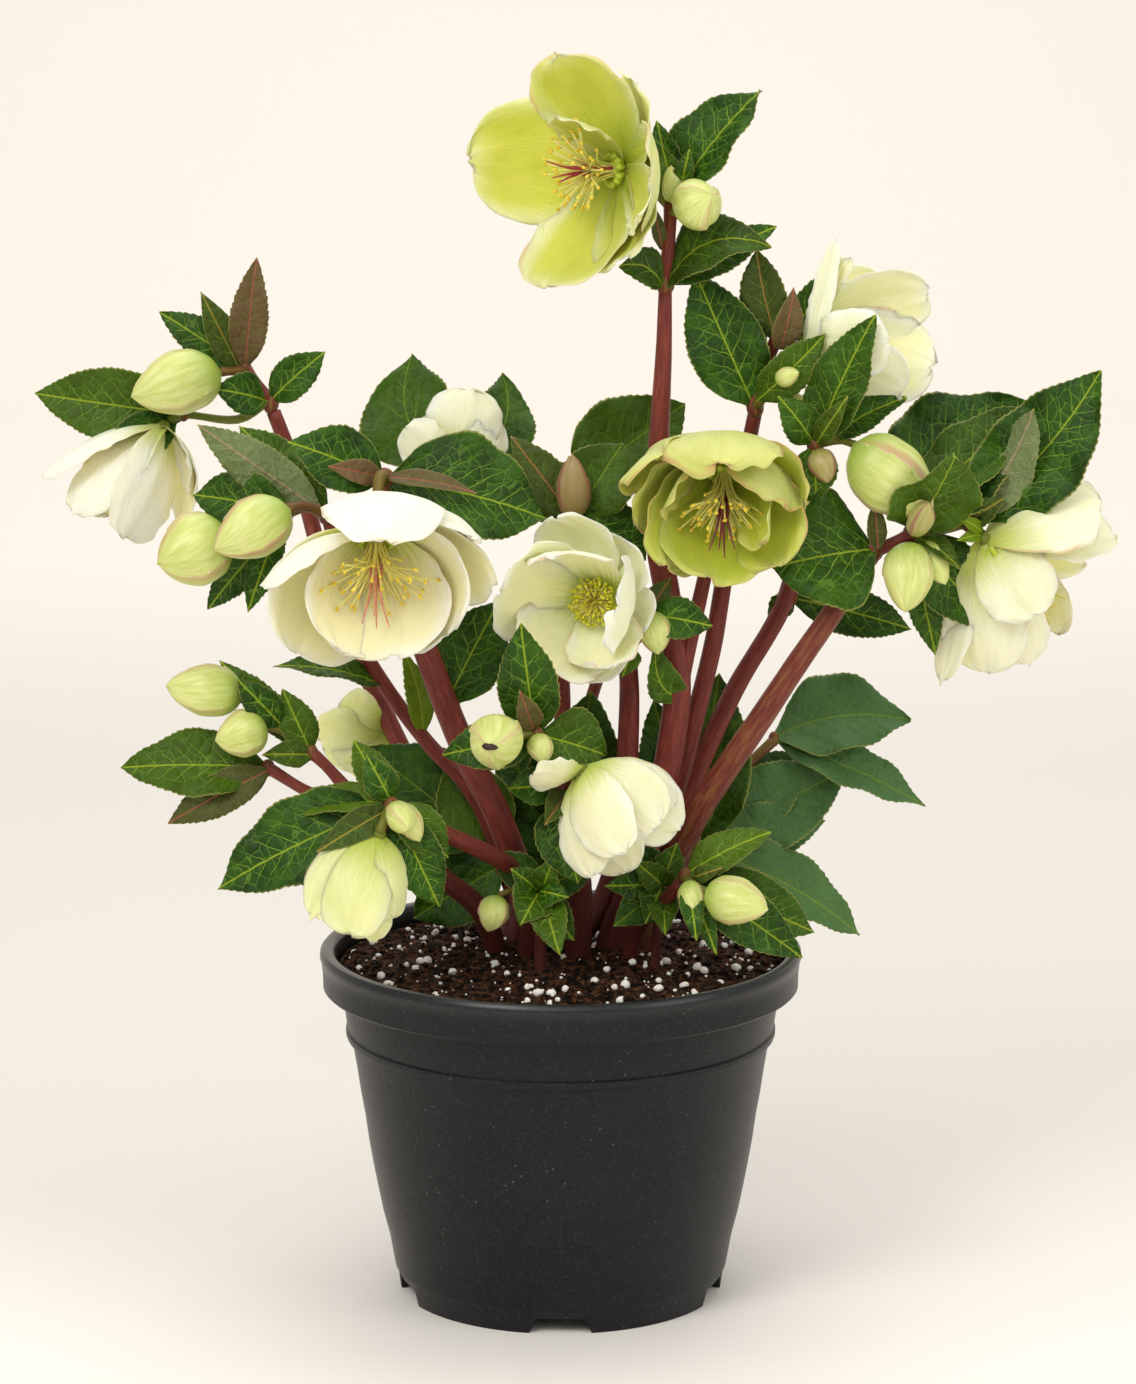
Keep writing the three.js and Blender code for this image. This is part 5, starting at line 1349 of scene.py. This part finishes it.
        knob([41, 141.5, -41], 3.2),
        branch(1.4, [41, 141, -42], [45, 138, -47], [49, 136, -51], tint=0.8),
        leaf([41, 142, -41], [71, 157, -42], 14, (0, -0.8, 0.6), age=-0.15),
        leaf([42, 140, -41], [52, 114, -54], 8),
        leaf([42, 139, -46], [45, 119, -58], 8),
        leaf([42, 141, -40], [82, 113, -42], 19),
        leaf([42, 141, -39], [86, 122, -30], 22),
        bud([42, 140, -45], [45, 127, -54], 9.5, 0.7),
        bract([44, 141, -43], [54, 144.5, -50], 6, age=0.4),
    ],
    "leaves_back_right": [
        stalk(2.6, [22, 26], [36, 140, 36], [44, 152, 41], tint=0.5),
        branch(2, [43, 151, 40], [60, 177, 50], [73, 190, 54], tint=0.6),
        leaf([43, 150, 41], [53, 212.5, 50], 34, haze=1),
        leaf([43, 150, 41], [30, 203.5, 46], 26, haze=1),
        leaf([44, 151, 42], [83.5, 185, 62], 28, haze=2),
        knob([72, 189.5, 54], 2.8),
        knob([44, 151, 41], 3.6),
        leaf([72, 190, 54], [120, 196, 60], 32, (0, -0.8, 0.6), sweep=-4, haze=2),
        leaf([73, 189, 53], [125, 166, 50], 20, (0.2, -0.7, 0.7), haze=2),
        leaf([44, 151, 41], [98, 179, 58], 32, haze=2),
        leaf([45, 151, 40], [90, 161, 54], 22, haze=2),
        leaf([46, 151, 40], [102, 121, 34], 24, (0.2, -0.8, 0.6), 8, haze=2),
    ],
    "leaves_crown": [
        stalk(2, [-7, -22], [-10, 137, -24]),
        branch(1.2, [-10, 136, -24], [-18, 137, -28], [-24, 135, -31], tint=0.7),
        bud([-24, 135, -31], [-28, 122.5, -35], 11, 0.9),
        knob([-10, 136, -24], 2.6),
        leaf([-10, 136, -25], [-16.5, 124.5, -40], 17),
        leaf([-9, 135, -25], [-3, 114, -48], 13),
        leaf([-10, 136, -25], [0, 134, -38], 13),
        leaf([-10, 136, -24], [-20, 144, -34], 12),
        leaf([-9, 136, -24], [-5, 148, -36], 11),
        bract([-11, 136, -24], [-19, 147, -20], 8, age=0.3),
        leaf([-10, 135, -23], [2, 119, -34], 12),
        leaf([-10, 137, -22], [10, 145, -26], 13, haze=1),
        leaf([-10, 137, -22], [-26, 150, -22], 13, haze=1),
    ],
    "leaves_crown_right": [
        stalk(1.6, [33, -18], [33, 140, -20]),
        leaf([33, 138, -20], [27, 125, -34], 13),
        leaf([33, 138, -20], [13, 138, -30], 12),
        leaf([33, 138, -20], [38, 153, -24], 13),
        leaf([33, 138, -20], [23, 147, -30], 10),
        leaf([33, 137, -20], [16, 124, -34], 14, haze=1),
        leaf([33, 137, -20], [34, 121, -38], 11),
        leaf([33, 139, -19], [18, 153, -20], 14, haze=1),
    ],
}


def settle(piece, node, slot):
    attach(piece, "root")
    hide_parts(node)


def seedOf(name):
    return sum(ord(letter) * (i + 3) for i, letter in enumerate(name)) % 9000


def growPiece(node, parts, slot):
    growth = Growth(node + "_live")
    for i, part in enumerate(parts):
        part(growth, seedOf(node) + 31 * i)
    settle(growth.make(), node, slot)


for node, parts in stems.items():
    growPiece(node, parts, "stem")
for node, fan in stamens.items():
    growPiece(node, [fan], "stamens")
for node, parts in buds.items():
    growPiece(node, parts, "bud")
for node, parts in sprays.items():
    growPiece(node, parts, "leaf")
print("stems, sprays, buds and stamens grown")

for node, (kind, root, axis, sepals) in blooms.items():
    growth = Growth(node + "_live")
    seed = seedOf(node)
    addLump(growth, seed, place(root), (2.4, 2.4, 2.4), "stemSkin", 1.0)
    for i, form in enumerate(sepals):
        addSepal(growth, seed + 17 * i, root, axis, form, kind, i % 3 - 1)
    settle(growth.make(), node, (kind if kind in ("lime", "green") else "white") + "_sepal")
print("blooms grown")


# the pot, turned about its axis, with its foot notched and its floor drilled; radius and height in mm
potCut = {
    "sides": 180,
    "outer": [(57.0, 0), (57.3, 0.5), (58.2, 7.4), (59.0, 8.5), (59.2, 9.2), (61.1, 20), (63.4, 29),
              (65.2, 38),
              (66.8, 46.5), (68.3, 55.5), (69.5, 64.5), (71.0, 73), (72.3, 82), (73.8, 91.2), (74.0, 92.0),
              (75.6, 92.6), (76.0, 93.6), (76.0, 95.2), (75.4, 95.8), (75.6, 97.0), (76.6, 104), (77.5,
                                                                                                  109.6),
              (78.2, 110.0), (83.2, 110.2), (83.9, 110.9), (84.0, 116), (84.6, 120.5), (85.0, 121.6),
              (84.8, 123.2), (83.8, 124.3), (82.6, 124.5), (81.0, 124.2), (79.9, 123.2), (79.5, 121.8)],
    "inner": [(79.5, 118.0), (78.4, 111.5), (76.2, 109.0), (75.0, 104), (74.0, 95), (72.2, 91), (55.8, 9.6),
              (54.8, 8.4), (53.0, 8.2), (0.0, 8.2)],
    "under": [(0.0, 6.0), (54.5, 6.0), (55.2, 5.4), (55.4, 0.0)],
    "footRadius": 57.0,
    "notches": 5,
    "notchFoot": 22.0,
    "notchTop": 16.6,
    "notchHeight": 5.4,
    "drainRadius": 5.0,
    "drainCircle": 34.0,
    "drainHeight": 7.0,
    "drillLength": 20.0,
    "drillSides": 48,
    "creaseAngle": 38,        # degrees
}


def makePot():
    cut = potCut
    profile = np.array(cut["outer"] + cut["inner"] + cut["under"])
    turn = fullTurn / cut["notches"]
    halves = [cut["notchTop"] / 2, cut["notchFoot"] / 2]
    marks = [-math.pi / 2 + i * turn + sign * reach / cut["footRadius"]
             for i in range(cut["notches"]) for reach in halves for sign in (-1, 1)]
    angles = np.concatenate([np.linspace(0, fullTurn, cut["sides"], endpoint=False),
                             np.mod(marks, fullTurn)])
    angles = np.unique(np.round(angles, 5))
    fromMiddle = np.abs(np.mod(angles + math.pi / 2 + turn / 2, turn) - turn / 2) * cut["footRadius"]
    foot = np.interp(fromMiddle, halves, [cut["notchHeight"], 0])
    radius = profile[:, :1] + 0 * angles
    height = np.maximum(profile[:, 1:], np.where(radius > 55.0, foot[None, :], 0))
    grid = triples(radius * np.cos(angles), radius * np.sin(angles), height)
    growth = Growth("pot_live")
    growth.addGrid(np.concatenate([grid, grid[:1]]), "potPlastic", wrap=True, flip=True)
    pot = growth.make()
    weld = bmesh.new()
    weld.from_mesh(pot.data)
    bmesh.ops.remove_doubles(weld, verts=weld.verts, dist=1e-6)
    for edge in weld.edges:
        if len(edge.link_faces) == 2 and edge.calc_face_angle(0) > math.radians(cut["creaseAngle"]):
            edge.smooth = False
    weld.to_mesh(pot.data)
    weld.free()
    for i in range(cut["notches"]):
        angle = math.pi / 2 + i * turn
        x, y = cut["drainCircle"] * math.cos(angle), cut["drainCircle"] * math.sin(angle)
        spot = [value / mmPerMetre for value in (x, y, cut["drainHeight"])]
        bpy.ops.mesh.primitive_cylinder_add(vertices=cut["drillSides"],
                                            radius=cut["drainRadius"] / mmPerMetre,
                                            depth=cut["drillLength"] / mmPerMetre, location=spot)
        drill = bpy.context.object
        drain = pot.modifiers.new("drain", "BOOLEAN")
        drain.operation = "DIFFERENCE"
        drain.solver = "EXACT"
        drain.object = drill
        finished = bpy.data.meshes.new_from_object(pot.evaluated_get(bpy.context.evaluated_depsgraph_get()))
        pot.modifiers.clear()
        pot.data = finished
        bpy.data.objects.remove(drill)
    settle(pot, "pot", "pot")


makePot()
print("pot turned")


# the soil, its crumbs and fibres, and the perlite in it
soilLook = {
    "seed": 5,
    "rings": 56,
    "sides": 180,
    "edge": 78.6,
    "crowding": 0.75,         # below 1 the rings lie closer at the edge
    "lumps": [(11, 0.12, 1.1), (12, 0.35, 0.7), (13, 0.9, 0.35)],    # seed, waves to a mm, height
    "wall": [(78.2, 116.0), (76.8, 110.5), (74.4, 106), (73.3, 95), (71.6, 91), (55.5, 12), (0.02, 12)],
    "crumbs": {"count": 2400, "reach": 78, "inner": 0, "size": (0.3, 1.15, 2.0), "limit": 77.5,
               "rise": 0.3},
    "beads": {"count": 430, "reach": 76, "inner": 0.02, "size": (0.32, 1.45, 2.4), "limit": 77,
              "rise": 0.45},
    "fibres": {"count": 180, "reach": 74, "long": (2, 6), "radii": [0.18, 0.25, 0.12]},
}


def soilHeight(x, y):
    r = np.hypot(x, y)
    mound = soilCut["mound"] * np.exp(-(r / soilCut["moundSpread"]) ** 2)
    lumps = sum(high * wobble(seed, x * pace, y * pace) for seed, pace, high in soilLook["lumps"])
    return soilCut["edgeHeight"] + mound + lumps * stepUp(79.0, 70.0, r) - 0.6


def strew(draw, look):
    # place and size of one crumb or bead on the soil
    r = look["reach"] * math.sqrt(draw.uniform(look["inner"], 1))
    angle = draw.uniform(0, fullTurn)
    least, more, bias = look["size"]
    size = least + more * draw.uniform() ** bias
    r = min(r, look["limit"] - size)
    x, y = r * math.cos(angle), r * math.sin(angle)
    return (x, y, float(soilHeight(x, y)) + size * look["rise"]), size


def makeSoil():
    look = soilLook
    growth = Growth("soil_live")
    angle = np.arange(look["sides"]) * fullTurn / look["sides"]
    ring = np.linspace(0, 1, look["rings"]) ** look["crowding"] * look["edge"]
    ring[0] = 0.02
    x, y = ring[:, None] * np.cos(angle), ring[:, None] * np.sin(angle)
    side = [triples(radius * np.cos(angle), radius * np.sin(angle), height)
            for radius, height in look["wall"]]
    growth.addGrid(np.concatenate([triples(x, y, soilHeight(x, y)), np.array(side)]), "peat", wrap=True)
    draw = np.random.default_rng(look["seed"])
    for i in range(look["crumbs"]["count"]):
        spot, size = strew(draw, look["crumbs"])
        radii = (size * draw.uniform(0.8, 1.4), size * draw.uniform(0.8, 1.4), size * 0.8)
        addLump(growth, i, spot, radii, "peat", 0, rough=0.3, sides=6, rings=4)
    fibre = look["fibres"]
    for i in range(fibre["count"]):
        r = fibre["reach"] * math.sqrt(draw.uniform())
        angle = draw.uniform(0, fullTurn)
        x, y = r * math.cos(angle), r * math.sin(angle)
        way = draw.uniform(0, fullTurn)
        reach = draw.uniform(*fibre["long"])
        ground = float(soilHeight(x, y)) + 0.6
        points = [(x + reach * t * math.cos(way + t), y + reach * t * math.sin(way + t),
                   ground + 1.2 * math.sin(t * 3)) for t in (0, 0.5, 1)]
        addTube(growth, i, points, fibre["radii"], "peat", 0, sides=5, step=1.5)
    settle(growth.make(), "soil", "soil")
    beads = Growth("perlite_beads")
    for i in range(look["beads"]["count"]):
        spot, size = strew(draw, look["beads"])
        radii = (size * draw.uniform(0.85, 1.2), size * draw.uniform(0.85, 1.2),
                 size * draw.uniform(0.8, 1.1))
        addLump(beads, i, spot, radii, "perlite", 0, rough=0.26, sides=9, rings=7)
    piece = beads.make()
    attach(piece, "root")


makeSoil()
print("soil laid")


# floor, lights and camera
studio = {
    "floor": (0.91, 0.865, 0.80),
    "floorShade": (0.745, 0.71, 0.66),
    "floorShadeDepths": (-0.2, 0.15, 0.8, 1.7),    # metres: the painted shade on the floor comes in, then goes
    "halfWidth": 3000,
    "floorEnd": 2400,
    "bendRadius": 700,
    "bendSteps": 24,
    "wallTop": 2600,
    "worldTint": (1.0, 0.985, 0.96),
    "worldLight": 0.57,
    "lamps": [                # name, place, aim, size in metres, watts, tint
        ("keySoftbox", (-0.75, -1.1, 1.35), (0, 0, 0.22), 0.7, 13.6, (1.0, 0.985, 0.965)),
        ("fillSoftbox", (1.2, -0.8, 0.9), (0, 0, 0.22), 1.0, 6.6, (1.0, 0.99, 0.975)),
        ("topSoftbox", (0.1, 0.35, 1.5), (0, 0, 0.22), 1.0, 7.0, (1.0, 0.99, 0.97)),
        ("wallSoftbox", (0.0, 2.3, 2.0), (0, 2.9, 0.3), 2.4, 22.0, (1.0, 0.99, 0.97)),
        ("frontSoftbox", (0.0, -1.5, 1.1), (0, -1.0, 0), 0.8, 3.4, (1.0, 0.99, 0.97)),
    ],
}


def makeFloor():
    f = Finish("studioFloor")
    depth = f.split(f.here)[1]
    comeIn, arrive, leave, gone = studio["floorShadeDepths"]
    # painted shade: a darker band of floor across the pot's depth
    near = f.times(f.ramp(depth, comeIn, arrive), f.ramp(depth, leave, gone, 1.0, 0.0))
    f.wear({"Base Color": f.blend(near, studio["floor"], studio["floorShade"]), "Roughness": 0.7,
            "Specular IOR Level": 0.2})
    wide, end, radius = studio["halfWidth"], studio["floorEnd"], studio["bendRadius"]
    line = [(-wide, 0), (end, 0)]
    line += [(end + radius * math.sin(t), radius - radius * math.cos(t))
             for t in np.linspace(0.05, math.pi / 2, studio["bendSteps"])]
    line.append((end + radius, studio["wallTop"]))
    growth = Growth("studio_floor")
    growth.addGrid(np.array([[(x, y, z) for x in (-wide, 0, wide)] for y, z in line], float), "studioFloor")
    growth.make()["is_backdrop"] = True


def makeLights():
    world = bpy.data.worlds.new("studio")
    world.use_nodes = True
    background = world.node_tree.nodes["Background"]
    background.inputs[0].default_value = (*studio["worldTint"], 1)
    background.inputs[1].default_value = studio["worldLight"]
    bpy.context.scene.world = world
    for name, spot, aim, size, power, warmth in studio["lamps"]:
        lamp = bpy.data.lights.new(name, "AREA")
        lamp.energy = power
        lamp.size = size
        lamp.color = warmth
        holder = bpy.data.objects.new(name, lamp)
        holder.location = spot
        holder.rotation_euler = (Vector(aim) - Vector(spot)).to_track_quat("-Z", "Y").to_euler()
        bpy.context.scene.collection.objects.link(holder)


def makeCamera():
    camera = bpy.data.cameras.new("sheetCamera")
    camera.sensor_fit = "VERTICAL"
    camera.sensor_height = sheet["filmHeight"]
    camera.lens = sheet["lens"]
    camera.clip_end = 20
    viewer = bpy.data.objects.new("sheetCamera", camera)
    viewer.location = eyePoint / mmPerMetre
    viewer.rotation_euler = (math.pi / 2 - sheet["pitch"], 0, 0)
    bpy.context.scene.collection.objects.link(viewer)
    bpy.context.scene.camera = viewer


bpy.context.scene.view_settings.view_transform = "Standard"
makeFloor()
makeLights()
makeCamera()
print("studio ready")

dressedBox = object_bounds()
